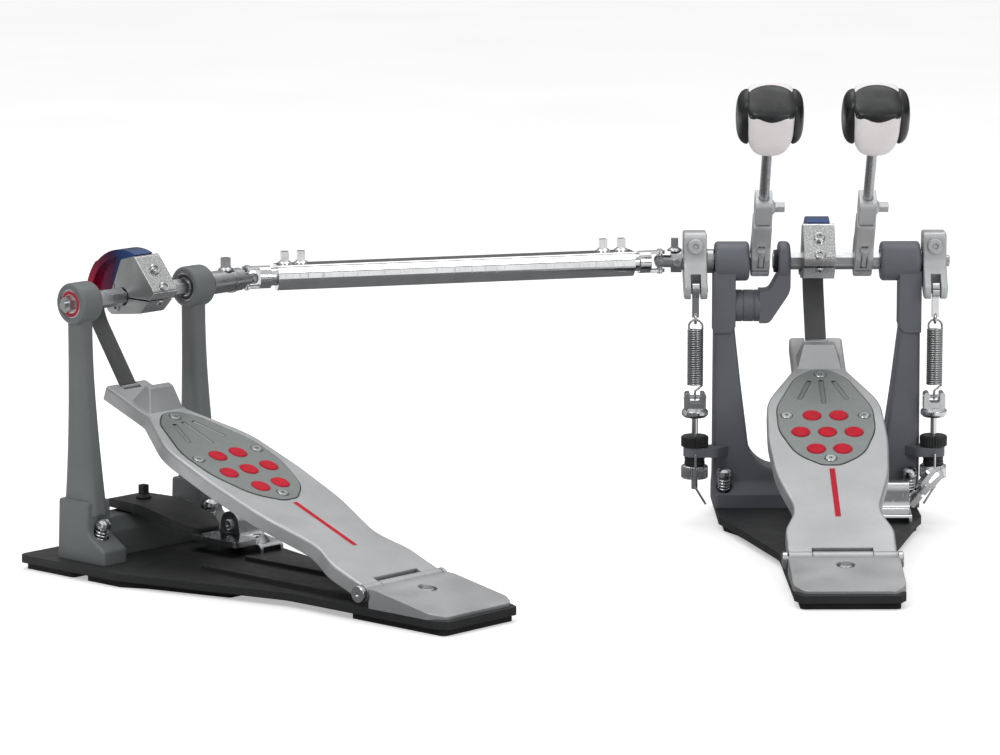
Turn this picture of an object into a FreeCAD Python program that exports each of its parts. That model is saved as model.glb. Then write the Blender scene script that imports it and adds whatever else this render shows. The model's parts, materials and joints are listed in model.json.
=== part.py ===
"""Twin bass drum pedal: a main pedal with two beaters, a second pedal, and the drive shaft between them.

Millimetres, +Z up, +Y from the player towards the drum, +X to the player's right.
The origin is on the floor, under the main pedal's shaft axis, at the middle of its cam.
Each node is built in its own simple frame and then placed.
"""

import FreeCAD, Part
import math
import os
import re
import Sketcher

Vector = FreeCAD.Vector
Placement = FreeCAD.Placement
Rotation = FreeCAD.Rotation
X = Vector(1, 0, 0)
Y = Vector(0, 1, 0)
Z = Vector(0, 0, 1)

DIMENSIONS = {
    # where things stand
    "shaft_height": 206, "second_x": -531.49, "second_y": -173.35, "second_yaw": 46.585,
    "drive_x": -449.02, "drive_y": -86.18, "drive_yaw": 14.893, "drive_span": 335.3,
    "main_joint_x": -125, "second_joint_x": 120,
    # base and heel
    "rubber_thick": 5, "plate_thick": 6, "plate_half": 80, "plate_back": 46, "plate_front": -361,
    "neck_half": 41, "heel_half": 41.5, "heel_pin_y": -278.6, "heel_pin_z": 20.8, "pin_radius": 3,
    "knuckle_half": 22.5, "knuckle_radius": 6.5,
    # pedestals
    "boss_radius": 15.7, "bore_radius": 11.02, "bearing_radius": 11, "journal_radius": 6,
    "bearing_bore": 6.05, "post_outer": 82, "boss_outer": 81.5, "boss_left": 54, "boss_right": 50,
    "arm_left": -31.2, "arm_right": -21.5, "arm_bore": 9.02, "pivot_z": 170.4, "pivot_radius": 12.7,
    "second_left_out": -66, "second_left_in": -45, "second_right_in": 52, "second_right_out": 72.5,
    # springs
    "left_line": -97.2, "right_line": 92.6, "spring_y": -20, "spring_radius": 6.5, "spring_wire": 1.4,
    "coil_low": 108,
    "coil_high": 156, "coil_turns": 18, "ear_low": 52.6, "ear_high": 60, "ear_half": 9, "rod_radius": 2.5,
    "lever_half": 9.2, "lever_pin": 20, "lever_pin_radius": 2,
    # shafts and drive
    "hex_flat": 12, "hex_bore": 7.0, "yoke_radius": 8.9, "yoke_gap": 6.2, "yoke_ear": 3.8,
    "yoke_depth": 11, "tube_radius": 10.8, "tube_bore": 7.1, "stem_radius": 7,
    # beaters
    "beater_lean": 39, "beater_reach": 159, "beater_rod": 4, "holder_half": 7.3, "holder_left": -45.5,
    "holder_right": 36, "head_wide": 53, "head_tall": 57, "head_deep": 50, "rod_low": 20,
    # cam
    "cam_radius": 40, "cam_y": 3, "cam_z": 201, "cam_half": 9, "hub_half": 12.4,
    # footboard
    "main_tilt": 22.1, "second_tilt": 20.9, "board_top": 5.8, "board_deep": 11, "board_skin": 4,
    "toe_end": 312, "grip_thick": 1.4, "grip_sink": 0.9, "dot_radius": 7.1, "belt_half": 8.5,
    "belt_thick": 1.6, "belt_foot": 307, "belt_rise": 4, "belt_gap": 0.3,
}

doc = FreeCAD.newDocument("TwinDrumPedal")
sheet = doc.addObject("Spreadsheet::Sheet", "Dimensions")
for row, (alias, number) in enumerate(DIMENSIONS.items(), start=1):
    sheet.set(f"A{row}", str(number))
    sheet.setAlias(f"A{row}", alias)
doc.recompute()

CELL = re.compile(r"\b(" + "|".join(DIMENSIONS) + r")\b")
nodes = []


def bind(formula):
    """A formula over the sheet's names, as FreeCAD writes it."""
    return CELL.sub(r"Dimensions.\1", str(formula))


def value(formula):
    """The number that a formula over the sheet's names gives now."""
    return float(sheet.evalExpression(bind(formula)))


def drive(thing, **formulas):
    """Binds properties of an object to formulas over the sheet's names."""
    for prop, formula in formulas.items():
        thing.setExpression(prop.replace("__", "."), bind(formula))
    return thing


# ---------------------------------------------------------------- frames

def main_frame():
    return Placement()


def second_frame():
    return Placement(Vector(value("second_x"), value("second_y"), 0), Rotation(Z, value("second_yaw")))


def board_frame(pedal, tilt):
    """Y runs up the board from the heel pin, Z stands square to it."""
    return pedal.multiply(Placement(Vector(0, value("heel_pin_y"), value("heel_pin_z")), Rotation(X, value(tilt))))


def shaft_frame(pedal, x=0.0, lean=0.0):
    """On the shaft axis at x, turned back about it by lean."""
    return pedal.multiply(Placement(Vector(value(x), 0, value("shaft_height")), Rotation(X, value(lean))))


def drive_frame():
    """On the second pedal's joint centre, with X along the drive shaft."""
    start = Vector(value("drive_x"), value("drive_y"), value("shaft_height"))
    return Placement(start, Rotation(Z, value("drive_yaw")))


# ---------------------------------------------------------------- drawing helpers

def corner(before, here, after, radius):
    """Start, middle and end of the arc that rounds one corner."""
    u = (before - here).normalize()
    v = (after - here).normalize()
    half = u.getAngle(v) / 2
    reach = radius / math.tan(half)
    middle = (u + v).normalize()
    centre = here + middle * (radius / math.sin(half))
    return here + u * reach, centre - middle * radius, here + v * reach


def draw_outline(sketch, outline):
    """A closed outline of (x, y) or (x, y, rounding) points, each held by the sheet."""
    spots = [Vector(value(p[0]), value(p[1]), 0) for p in outline]
    rounds = [value(p[2]) if len(p) > 2 else 0 for p in outline]
    count = len(spots)
    arcs = {}
    for i, radius in enumerate(rounds):
        if radius:
            arcs[i] = corner(spots[i - 1], spots[i], spots[(i + 1) % count], radius)
    lines = []
    for i in range(count):
        after = (i + 1) % count
        start = arcs[i][2] if i in arcs else spots[i]
        end = arcs[after][0] if after in arcs else spots[after]
        lines.append(sketch.addGeometry(Part.LineSegment(start, end), False))
    for i, point in enumerate(outline):
        before = lines[i - 1]
        after = lines[i]
        if i not in arcs:
            sketch.addConstraint(Sketcher.Constraint("Coincident", before, 2, after, 1))
            hold_point(sketch, after, 1, point)
            continue
        arc = sketch.addGeometry(Part.Arc(*arcs[i]), False)
        near = 1 if sketch.getPoint(arc, 1).isEqual(arcs[i][0], 1e-6) else 2
        sketch.addConstraint(Sketcher.Constraint("Tangent", before, 2, arc, near))
        sketch.addConstraint(Sketcher.Constraint("Tangent", after, 1, arc, 3 - near))
        size = sketch.addConstraint(Sketcher.Constraint("Radius", arc, rounds[i]))
        sketch.setExpression(f"Constraints[{size}]", bind(point[2]))
        mark = sketch.addGeometry(Part.Point(spots[i]), True)
        sketch.addConstraint(Sketcher.Constraint("PointOnObject", mark, 1, before))
        sketch.addConstraint(Sketcher.Constraint("PointOnObject", mark, 1, after))
        hold_point(sketch, mark, 1, point)


def hold_point(sketch, shape, end, point):
    """Holds one end of a sketch shape at a point given by formulas."""
    for kind, formula in (("DistanceX", point[0]), ("DistanceY", point[1])):
        place = sketch.addConstraint(Sketcher.Constraint(kind, -1, 1, shape, end, value(formula)))
        sketch.setExpression(f"Constraints[{place}]", bind(formula))


def draw_circle(sketch, x, y, radius):
    """A circle held at its centre and by its radius."""
    ring = sketch.addGeometry(Part.Circle(Vector(value(x), value(y), 0), Z, value(radius)), False)
    hold_point(sketch, ring, 3, (x, y))
    size = sketch.addConstraint(Sketcher.Constraint("Radius", ring, value(radius)))
    sketch.setExpression(f"Constraints[{size}]", bind(radius))


def new_body(name):
    return doc.addObject("PartDesign::Body", name)


def new_sketch(body, plane, offset, loops):
    """A sketch on one of the body's own origin planes, moved along the plane's normal."""
    sketch = body.newObject("Sketcher::SketchObject", "Sketch")
    base = next(o for o in body.Origin.OriginFeatures if o.Role == plane + "_Plane")
    sketch.AttachmentSupport = [(base, "")]
    sketch.MapMode = "FlatFace"
    drive(sketch, AttachmentOffset__Base__z=offset)
    for loop in loops:
        if loop[0] == "circle":
            draw_circle(sketch, *loop[1:])
        else:
            draw_outline(sketch, loop)
    return sketch


def pad(body, plane, low, high, *loops):
    """Adds the loops' area between two levels along X, Y or Z. The XZ plane's normal is -Y."""
    start = f"-({high})" if plane == "XZ" else low
    feature = body.newObject("PartDesign::Pad", "Pad")
    feature.Profile = new_sketch(body, plane, start, loops)
    drive(feature, Length=f"({high}) - ({low})")
    doc.recompute()
    return body


def pocket(body, plane, low, high, *loops):
    """Cuts the loops' area between two levels, and checks that something was cut."""
    before = body.Tip.Shape.Volume
    start = f"-({high})" if plane == "XZ" else low
    feature = body.newObject("PartDesign::Pocket", "Pocket")
    feature.Profile = new_sketch(body, plane, start, loops)
    feature.Reversed = True
    drive(feature, Length=f"({high}) - ({low})")
    doc.recompute()
    if feature.Shape.Volume > before - 1e-3:
        raise ValueError(f"a pocket in {body.Name} cuts nothing")
    return body


def soften(body, radius, wanted):
    """Fillets the tip's edges that the test picks."""
    tip = body.Tip
    names = [f"Edge{i}" for i, edge in enumerate(tip.Shape.Edges, start=1) if wanted(edge)]
    feature = body.newObject("PartDesign::Fillet", "Fillet")
    feature.Base = (tip, names)
    drive(feature, Radius=radius)
    doc.recompute()
    return body


def turned(name, profile, spot=(0, 0, 0), along=Z):
    """A turned piece: (radius, height) points spun about its own axis, set along a direction."""
    body = new_body(name)
    feature = body.newObject("PartDesign::Revolution", "Revolution")
    sketch = new_sketch(body, "XZ", "0", [profile])
    feature.Profile = sketch
    feature.ReferenceAxis = (sketch, ["V_Axis"])
    feature.Angle = 360
    body.Placement = Placement(Vector(*[value(c) for c in spot]), Rotation(Z, along))
    return body


def round_bar(name, radius, length, spot, along=Z):
    """A plain cylinder from a spot along a direction."""
    bar = doc.addObject("Part::Cylinder", name)
    drive(bar, Radius=radius, Height=length)
    bar.Placement = Placement(Vector(*[value(c) for c in spot]), Rotation(Z, along))
    return bar


def block(name, low, high):
    """A box between two corners."""
    box = doc.addObject("Part::Box", name)
    drive(box, Length=f"({high[0]}) - ({low[0]})", Width=f"({high[1]}) - ({low[1]})",
          Height=f"({high[2]}) - ({low[2]})")
    drive(box, Placement__Base__x=low[0], Placement__Base__y=low[1], Placement__Base__z=low[2])
    return box


def ball(name, radius, spot):
    sphere = doc.addObject("Part::Sphere", name)
    drive(sphere, Radius=radius)
    sphere.Placement.Base = Vector(*[value(c) for c in spot])
    return sphere


def hexagon(name, flat, length, spot, along=Z, turn=0):
    """A hexagonal bar of a given width across flats."""
    bar = doc.addObject("Part::Prism", name)
    bar.Polygon = 6
    drive(bar, Circumradius=f"({flat}) / sqrt(3)", Height=length)
    bar.Placement = Placement(Vector(*[value(c) for c in spot]), Rotation(Z, along) * Rotation(Z, turn))
    return bar


def fuse(*pieces):
    if len(pieces) == 1:
        return pieces[0]
    joined = doc.addObject("Part::MultiFuse", "Fuse")
    joined.Shapes = list(pieces)
    return joined


def common(*pieces):
    shared = doc.addObject("Part::MultiCommon", "Common")
    shared.Shapes = list(pieces)
    return shared


def cut(base, *tools):
    result = doc.addObject("Part::Cut", "Cut")
    result.Base = base
    result.Tool = fuse(*tools)
    return result


def group(*pieces):
    """Separate solids of one node, kept apart."""
    gathered = doc.addObject("Part::Compound", "Compound")
    gathered.Links = list(pieces)
    return gathered


def fillet(base, radius, wanted):
    """Rounds the edges of a boolean result that the test picks."""
    doc.recompute()
    rounded = doc.addObject("Part::Fillet", "Fillet")
    rounded.Base = base
    size = value(radius)
    rounded.Edges = [(i, size, size) for i, edge in enumerate(base.Shape.Edges, start=1) if wanted(edge)]
    return rounded


def node(label, piece, frame):
    """Names a finished sub-part and puts it in its place."""
    piece.Label = label
    piece.Placement = frame.multiply(piece.Placement)
    nodes.append(piece)


def mirrored(outline):
    """A closed outline from its right half, given from bottom to top."""
    left = [(f"-({p[0]})",) + tuple(p[1:]) for p in reversed(outline)]
    return list(outline) + left


def steep(edge, share=0.8, length=20):
    """Whether an edge is straight, long and mostly upright."""
    if edge.Curve.TypeId != "Part::GeomLine" or edge.Length < length:
        return False
    return abs(edge.tangentAt(edge.FirstParameter).z) > share


def screw_head(name, radius, tall, spot, along=Z, socket=1.6):
    """A chamfered round head with a socket."""
    profile = [(socket, tall), (f"({radius}) - 0.6", tall), (radius, f"({tall}) - 0.6"), (radius, 0), (0, 0),
               (0, f"({tall}) - 1.2"), (socket, f"({tall}) - 1.2")]
    return turned(name, profile, spot, along)


def key_bolt(name, spot, along=Z, shank=6):
    """A drum-key bolt: flange, square head and shank."""
    where = Vector(*[value(c) for c in spot])
    head = doc.addObject("Part::Box", name)
    head.Length = head.Width = 5.6
    head.Height = 8.5
    turn = Rotation(Z, along)
    head.Placement = Placement(where + turn.multVec(Vector(-2.8, -2.8, 1.5)), turn)
    flange = turned(name + "Flange", [(0, -value(shank)), (2.4, -value(shank)), (2.4, 0), (6, 0), (5.6, 1.2),
                                      (3.6, 2.6), (0, 2.6)], spot, along)
    return fuse(head, flange)


# ---------------------------------------------------------------- base and heel

BASE_TOP = "rubber_thick + plate_thick"
SPUR_SEAT = (-17.5, 23.2)
SPUR_TILT = Vector(0, -0.34, 0.94)


def base_plate(label, frame):
    """Steel plate, wide under the pedestal and narrow under the heel, with two stiffening ribs."""
    right = [(36, "plate_front", 4), ("neck_half", "plate_front + 10", 4), ("neck_half + 1", -205, 60),
             (51, -170, 60), ("plate_half - 4", -72, 12), ("plate_half", -60, 12),
             ("plate_half", "plate_back - 3", 3), ("plate_half - 5", "plate_back", 3)]
    body = pad(new_body("Plate"), "XY", "rubber_thick", BASE_TOP, mirrored(right))
    for x in (-26, 20):
        rib = [(x, -262, 2), (x + 6, -262, 2), (x + 6, -96, 2), (x, -96, 2)]
        pad(body, "XY", f"{BASE_TOP} - 1", f"{BASE_TOP} + 3", rib)
    node(label, body, frame)


def rubber_feet(label, frame):
    """Rubber pads under the pedestal, the middle and the heel."""
    rear = [(-76, -11, 3), (76, -11, 3), (76, 42, 3), (-76, 42, 3)]
    middle = [(-47, -150, 3), (47, -150, 3), (66, -82, 6), (76, -62, 3), (76, -25, 3), (-76, -25, 3),
              (-76, -62, 3), (-66, -82, 6)]
    heel = [(-37, -357, 4), (37, -357, 4), (37, -264, 4), (-37, -264, 4)]
    pads = [pad(new_body("RubberPad"), "XY", "0", "rubber_thick", loop) for loop in (rear, middle, heel)]
    node(label, group(*pads), frame)


def heel_plate(label, frame):
    """Cast heel rest that slopes to the floor plate and carries the hinge knuckle."""
    plan = pad(new_body("HeelPlan"), "XY", BASE_TOP, "40", mirrored([
        (34, "plate_front + 4", 7), ("heel_half", "plate_front + 16", 10), ("heel_half", "heel_pin_y - 8")]))
    side = pad(new_body("HeelSide"), "YZ", "-60", "60", [
        ("plate_front", BASE_TOP), ("heel_pin_y", BASE_TOP), ("heel_pin_y", "heel_pin_z + 4.6", 2),
        ("heel_pin_y - 14", "heel_pin_z + 4.6", 20), ("plate_front + 8", 14.5, 8), ("plate_front", 13)])
    slab = common(plan, side)
    knuckle = round_bar("Knuckle", "knuckle_radius", "2 * knuckle_half",
                        ("-knuckle_half", "heel_pin_y", "heel_pin_z"), X)
    foot = block("KnuckleFoot", ("-knuckle_half", "heel_pin_y - 9", BASE_TOP),
                 ("knuckle_half", "heel_pin_y + 4", "heel_pin_z"))
    bore = round_bar("PinBore", "pin_radius + 0.02", 100, (-50, "heel_pin_y", "heel_pin_z"), X)
    recess = round_bar("ScrewRecess", 7, 20, (0, -306, 20), Z)
    hole = round_bar("ScrewHole", 2.6, 40, (0, -306, 5), Z)
    lugs = [round_bar("LugRoom", 9.2, 30, (x, "heel_pin_y", "heel_pin_z"), X) for x in (22.6, -52.6)]
    solid = cut(fuse(slab, knuckle, foot), bore, recess, hole, *lugs)
    node(label, solid, frame)


def frame_screws(label, frame, spur_x):
    """Heel pin with its caps, the heel plate's screw and the two sprung spur bolts."""
    pin = round_bar("HeelPin", "pin_radius", 86, (-43, "heel_pin_y", "heel_pin_z"), X)
    caps = []
    for side in (-1, 1):
        caps.append(screw_head("PinCap", 6.3, 3.6, (41.6 * side, "heel_pin_y", "heel_pin_z"), X * side))
    screw = screw_head("HeelScrew", 5.2, 2.4, (0, -306, 20), Z, 2)
    shank = round_bar("HeelScrewShank", 2.5, 8, (0, -306, 12), Z)
    pieces = [fuse(pin, *caps), fuse(screw, shank)]
    for x in (-value(spur_x), value(spur_x)):
        low = Vector(x, *SPUR_SEAT)
        bolt = turned("SpurBolt", [(0, 0), (2.6, 0), (2.6, 14), (5.6, 15), (6, 17), (5.2, 20), (3, 21.4), (0, 21.8)],
                      tuple(low), SPUR_TILT)
        coils = []
        for turn in range(4):
            ring = doc.addObject("Part::Torus", "SpurSpring")
            ring.Radius1 = 4.4
            ring.Radius2 = 0.9
            ring.Placement = Placement(low + SPUR_TILT * (4 + 2.6 * turn), Rotation(Z, SPUR_TILT))
            coils.append(ring)
        rings = [cut(coil, round_bar("SpurRoom", 2.7, 30, tuple(low), SPUR_TILT)) for coil in coils]
        pieces.append(bolt)
        pieces.extend(rings)
    node(label, group(*pieces), frame)


# ---------------------------------------------------------------- pedestals

def spur_rooms(x):
    """The hole of a spur bolt and the seat of its spring."""
    hole = round_bar("SpurHole", 3, 22, Vector(x, *SPUR_SEAT) - SPUR_TILT * 20, SPUR_TILT)
    return [hole, round_bar("SpurSeat", 6.2, 30, (x, *SPUR_SEAT), SPUR_TILT)]


def boss(name, start, length):
    """A bearing boss along X with rounded rims."""
    radius = "boss_radius"
    profile = [(0, 0), (radius, 0, 3), (radius, length, 3), (0, length)]
    return turned(name, profile, (start, 0, "shaft_height"), X)


def bearing_bores(*spans):
    return [round_bar("BearingBore", "bore_radius", f"({high}) - ({low})", (low, 0, "shaft_height"), X)
            for low, high in spans]


def main_pedestal():
    """Twin posts rising from one casting, with bearing bosses, spring ears and a cross member."""
    right = [("post_outer", BASE_TOP), ("post_outer", 196), (65, 196), (65.3, 152), (60.6, 110, 40), (55, 66, 40),
             (52, 41, 25)]
    front = pad(new_body("PostFront"), "XZ", "-40", "40",
                [(f"-({p[0]})",) + tuple(p[1:]) for p in right] + list(reversed(right)))
    side = pad(new_body("PostSide"), "YZ", "-90", "90", [
        (-25, BASE_TOP), (-25, 22, 2), (-16.5, 30, 6), (-16.5, 60, 60), (-11, 150, 60), (-10.5, 197), (10.5, 197),
        (11, 150, 60), (15, 60, 60), (16, 34, 10), (28, 24, 6), (28, BASE_TOP)])
    frame = fillet(common(front, side), 3.2, lambda e: steep(e, 0.75, 30))
    necks = []
    ears = []
    for side_sign in (-1, 1):
        edge = f"{side_sign} * (post_outer + 0.5)"
        neck = [(side_sign * 65, 155, 1), (side_sign * 69, 150, 1), (edge, 150, 1), (edge, 199), (side_sign * 65, 199)]
        necks.append(pad(new_body("Neck"), "XZ", "-13", "13", neck))
        line = "left_line" if side_sign < 0 else "right_line"
        ear = [(f"{side_sign} * 70", "spring_y + 14"), (f"{side_sign} * 70", "spring_y + 4"),
               (f"{side_sign} * 80", "spring_y - ear_half", 8),
               (f"{line} + {side_sign} * ear_half", "spring_y - ear_half", 8.5),
               (f"{line} + {side_sign} * ear_half", "spring_y + ear_half", 8.5),
               (f"{side_sign} * 84.5", "spring_y + ear_half", 3), (f"{side_sign} * 81", "spring_y + 14")]
        hole = ("circle", line, "spring_y", "rod_radius + 0.5")
        ears.append(pad(new_body("Ear"), "XY", "ear_low", "ear_high", ear, hole))
    bosses = [boss("LeftBoss", "-boss_outer", "boss_outer - boss_left"),
              boss("RightBoss", "boss_right", "boss_outer - boss_right")]
    bar = pad(new_body("FrontBar"), "YZ", "-66", "66", [
        (-21, BASE_TOP), (-21, 24, 2), (-13, 31, 3), (0, 31), (0, BASE_TOP)])
    rooms = spur_rooms(-73.6) + spur_rooms(73.6) + bearing_bores((-90, -40), (40, 90))
    node("pedestal", cut(fuse(frame, *necks, *ears, *bosses, bar), *rooms), main_frame())


def center_arm():
    """Bracket on the left post that carries the inner ends of the two shafts."""
    leg = pad(new_body("ArmLeg"), "XZ", "-12", "12", [
        ("arm_left", "shaft_height"), ("arm_left", 196, 8), ("arm_left - 7", "pivot_z + pivot_radius", 6),
        (-46, "pivot_z + pivot_radius"), (-46, "pivot_z - pivot_radius"),
        ("arm_left - 7", "pivot_z - pivot_radius", 6),
        ("arm_right", 183, 16), ("arm_right", "shaft_height")])
    eye = turned("ArmEye", [(0, 0), (15.8, 0, 2.5), (15.8, "arm_right - arm_left", 4), (0, "arm_right - arm_left")],
                 ("arm_left", 0, "shaft_height"), X)
    grooved = [(0, 0), ("pivot_radius", 0), ("pivot_radius", 5.6), ("pivot_radius - 0.7", 6.2), ("pivot_radius", 6.8),
               ("pivot_radius", 14.2), ("pivot_radius - 0.7", 14.8), ("pivot_radius", 15.4), ("pivot_radius", 21, 1),
               (0, 21)]
    pivot = turned("ArmPivot", grooved, (-65, 0, "pivot_z"), X)
    bore = round_bar("ArmBore", "arm_bore", 20, ("arm_left - 5", 0, "shaft_height"), X)
    node("center_arm", cut(fuse(leg, eye, pivot), bore), main_frame())


def second_pedestal(frame):
    """Two separate posts, each a round column that widens into a foot."""
    posts = []
    spans = (("Left", "second_left_out", "second_left_in"), ("Right", "second_right_in", "second_right_out"))
    for name, low, high in spans:
        middle = f"(({low}) + ({high})) / 2"
        body = new_body(name + "Column")
        loft = body.newObject("PartDesign::AdditiveLoft", "Loft")
        levels = []
        for level, half_x, front, back in ((46, 9.5, -20, 13.5), (90, 8.6, -15, 10.5), (140, 8.2, -10, 8.8),
                                           ("shaft_height - 6", 8, -8.6, 8.6)):
            ring = [(f"{middle} - {half_x}", front, 6), (f"{middle} + {half_x}", front, 6),
                    (f"{middle} + {half_x}", back, 6), (f"{middle} - {half_x}", back, 6)]
            levels.append(new_sketch(body, "XY", level, [ring]))
        loft.Profile = levels[0]
        loft.Sections = levels[1:]
        foot = pad(new_body(name + "Foot"), "YZ", f"{middle} - 12", f"{middle} + 12", [
            (-35.5, BASE_TOP), (-35.5, 21.6, 3), (-18, 32.5, 6), (-18, 57, 2), (14, 57, 2), (16, BASE_TOP)])
        soften(foot, 2, lambda e: steep(e, 0.9, 8))
        posts.append(fuse(body, foot, boss(name + "Boss", low, f"({high}) - ({low})")))
    bar = pad(new_body("CrossBar"), "YZ", "-60", "66", [
        (-14, BASE_TOP), (-14, 30, 2), (-8, 41, 3), (14, 41, 4), (14, BASE_TOP)])
    rooms = spur_rooms(-56) + spur_rooms(56)
    rooms += bearing_bores(("second_left_out - 5", "second_left_in + 5"),
                           ("second_right_in - 5", "second_right_out + 5"))
    node("slave_pedestal", cut(fuse(*posts, bar), *rooms), frame)


def bearing(name, low, high, outer):
    """A ring bearing between two X positions."""
    length = f"({high}) - ({low})"
    profile = [("bearing_bore", 0), (outer, 0), (outer, length), ("bearing_bore", length)]
    return turned(name, profile, (low, 0, "shaft_height"), X)


def shaft_bearings():
    """Bearings of the two bosses, the arm's bearing and its outer seal."""
    rings = [bearing("BearingLeft", "-boss_outer", "-boss_outer + 7", "bearing_radius"),
             bearing("BearingLeftInner", "-boss_left - 7", "-boss_left", "bearing_radius"),
             bearing("BearingRightInner", "boss_right", "boss_right + 7", "bearing_radius"),
             bearing("BearingRight", "boss_outer - 7", "boss_outer", "bearing_radius"),
             bearing("BearingArm", "arm_left - 3.2", "arm_right", "arm_bore - 0.02")]
    node("shaft_bearings", group(*rings), main_frame())


def second_bearings(frame):
    rings = [bearing("BearingA", "second_left_out + 0.6", "second_left_out + 8", "bearing_radius"),
             bearing("BearingB", "second_left_in - 8", "second_left_in - 1", "bearing_radius"),
             bearing("BearingC", "second_right_in + 1", "second_right_in + 8", "bearing_radius"),
             bearing("BearingD", "second_right_out - 8", "second_right_out - 0.6", "bearing_radius")]
    node("slave_shaft_bearings", group(*rings), frame)


# ---------------------------------------------------------------- hoop clamp

WING_START = (70.6, -60, 21.5)
WING_OUT = Vector(0.64, 0, 0.77)


def clamp_bracket(label, frame):
    """Plated bracket beside the board that carries the clamp's lower lever and its rivet."""
    shell = pad(new_body("Bracket"), "YZ", "46", "70", [
        (-88, BASE_TOP), (-88, 17, 4), (-66, 20, 6), (-62, 39, 9), (-46, 39, 9), (-42, BASE_TOP)])
    pocket(shell, "YZ", "49", "67.5", [(-95, 0), (-95, 14.5), (-66, 16.8, 5), (-60, 34, 6), (-30, 34), (-30, 0)])
    rivet = screw_head("Rivet", 4, 2.2, (46, -54, 29), X * -1, 1.8)
    lever = pad(new_body("LowerLever"), "XY", "18", "22.5", [
        (22, -86, 4), (44, -86, 4), (45.9, -80), (45.9, -50), (40, -34, 5), (22, -34, 4)])
    stand = block("LeverStand", (26, -62, BASE_TOP), (40, -50, 18.5))
    socket = turned("WingSocket", [(0, -1), (5, -1), (5, 10), (0, 10)], WING_START, WING_OUT)
    bore = turned("WingBore", [(0, -0.1), (3.05, -0.1), (3.05, 20), (0, 20)], WING_START, WING_OUT)
    node(label, group(cut(fuse(shell, rivet, socket), bore), fuse(lever, stand)), frame)


def wing_bolt(label, frame):
    """Clamp screw with a bent-wing handle, leaning out from the bracket."""
    stem = turned("WingStem", [(0, 0.5), (3, 0.5), (3, 12), (5.4, 12.6), (5.4, 20, 1), (0, 20)], WING_START, WING_OUT)
    wings = pad(new_body("Wings"), "XZ", "-1.6", "1.6", [
        (-3, 13), (3, 13), (6, 16, 2), (15, 17.5, 5), (17, 33, 7), (6, 36, 4), (3, 21, 2), (-3, 21, 2), (-6, 36, 4),
        (-17, 33, 7), (-15, 17.5, 5), (-6, 16, 2)])
    wings.Placement = Placement(Vector(*WING_START), Rotation(Z, WING_OUT) * Rotation(Z, 60))
    node(label, fuse(stem, wings), frame)


def hoop_jaw(label, frame):
    """Arched clamp jaw over the cross member, with its height bolt."""
    arch = pad(new_body("JawSide"), "YZ", "-24", "24", [
        (38, 36, 1.5), (38, 41, 3), (12, 50, 30), (-26, 50, 30), (-66, 42, 12), (-80, 37, 1.5), (-80, 33, 1.5),
        (-62, 35, 12), (-24, 42.5, 10), (12, 43.5, 10)])
    plan = pad(new_body("JawPlan"), "XY", "20", "80", mirrored([
        (12, -80, 8), (20, -62, 20), (21, -20, 20), (17, 20, 20), (13, 38, 6)]))
    ribs = common(arch, plan)
    bolt = key_bolt("JawBolt", (0, -8, 50.6), Z, 4)
    hole = round_bar("JawHole", 2.6, 40, (0, -8, 30))
    node(label, fuse(cut(ribs, hole), bolt), frame)


# ---------------------------------------------------------------- footboard

BOARD_HALF = [(40.5, -8, 4), (41, 34, 40), (31.5, 61, 40), (43.5, 112, 150), (46.5, 162, 200), (44.5, 215, 60),
              (21, 262, 14), (21, "toe_end", 3)]
GRIP_HALF = [(7, 122, 12), (26, 137, 40), (37.5, 172, 60), (37.5, 205, 50), (21, 248, 26), (7, 261, 14)]


def grip_outline(grow=0.0):
    """The right half of the shield-shaped grip plate."""
    return [(f"{x} + {grow}", f"{y} + {grow if y > 180 else -grow}", radius) for x, y, radius in GRIP_HALF]


def footboard(label, frame):
    """Cast board: a thin skin with a deep rim, a grip recess, a toe stop and hinge lugs."""
    body = pad(new_body("Board"), "XY", "board_top - board_deep", "board_top", mirrored(BOARD_HALF))
    soften(body, 2, lambda e: abs(e.CenterOfMass.z - value("board_top")) < 0.01)
    inner = [(30, 22, 5), (34, 36, 15), (26, 61, 40), (37, 112, 150), (40, 162, 150), (38, 212, 50),
             (15, 258, 12), (15, "toe_end - 12", 4)]
    pocket(body, "XY", "board_top - board_deep - 1", "board_top - board_skin", mirrored(inner))
    pocket(body, "XY", "board_top - grip_sink", "board_top + 1", mirrored(grip_outline(0.35)))
    stop = doc.addObject("Part::Wedge", "ToeStop")
    stop.Xmin, stop.Xmax, stop.X2min, stop.X2max = -17.3, 17.3, -12, 12
    stop.Ymin, stop.Ymax = 0, 15.5
    stop.Zmin, stop.Zmax, stop.Z2min, stop.Z2max = -23, -1, -18, -13
    stop.Placement = Placement(Vector(0, value("263 - 1"), value("board_top - 0.7")), Rotation(X, 90))
    lug_bars = [round_bar("Lug", 6.4, 17.5, (x, 0, 0), X) for x in (22.9, -40.4)]
    lug_feet = [block("LugFoot", (x, 0, "board_top - board_deep"), (x + 17.5, 12, "board_top - 0.5"))
                for x in (22.9, -40.4)]
    bore = round_bar("LugBore", "pin_radius + 0.05", 100, (-50, 0, 0), X)
    notch = block("HeelNotch", ("-knuckle_half - 0.4", -14, -12), ("knuckle_half + 0.4", 8, 12))
    trim = cut(block("EndTrim", (-60, -30, -14), (60, 2, 14)), round_bar("LugKeep", 6.4, 120, (-60, 0, 0), X),
               block("TopKeep", (-60, 0, "-6.4"), (60, 2.5, 6.4)))
    holes = [round_bar("GripHole", 2.1, 20, (x, y, -8)) for x, y in GRIP_SCREWS]
    slot = block("BeltSlot", ("-belt_half - 0.6", "belt_foot - 4.5", -1), ("belt_half + 0.6", "toe_end + 5", 10))
    stripe = block("StripeGroove", (-2.1, 50.5, "board_top - 0.4"), (2.1, 117.6, 10))
    solid = cut(fuse(body, stop, *lug_bars, *lug_feet), notch, trim, bore, slot, stripe, *holes)
    node(label, solid, frame)


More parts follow.
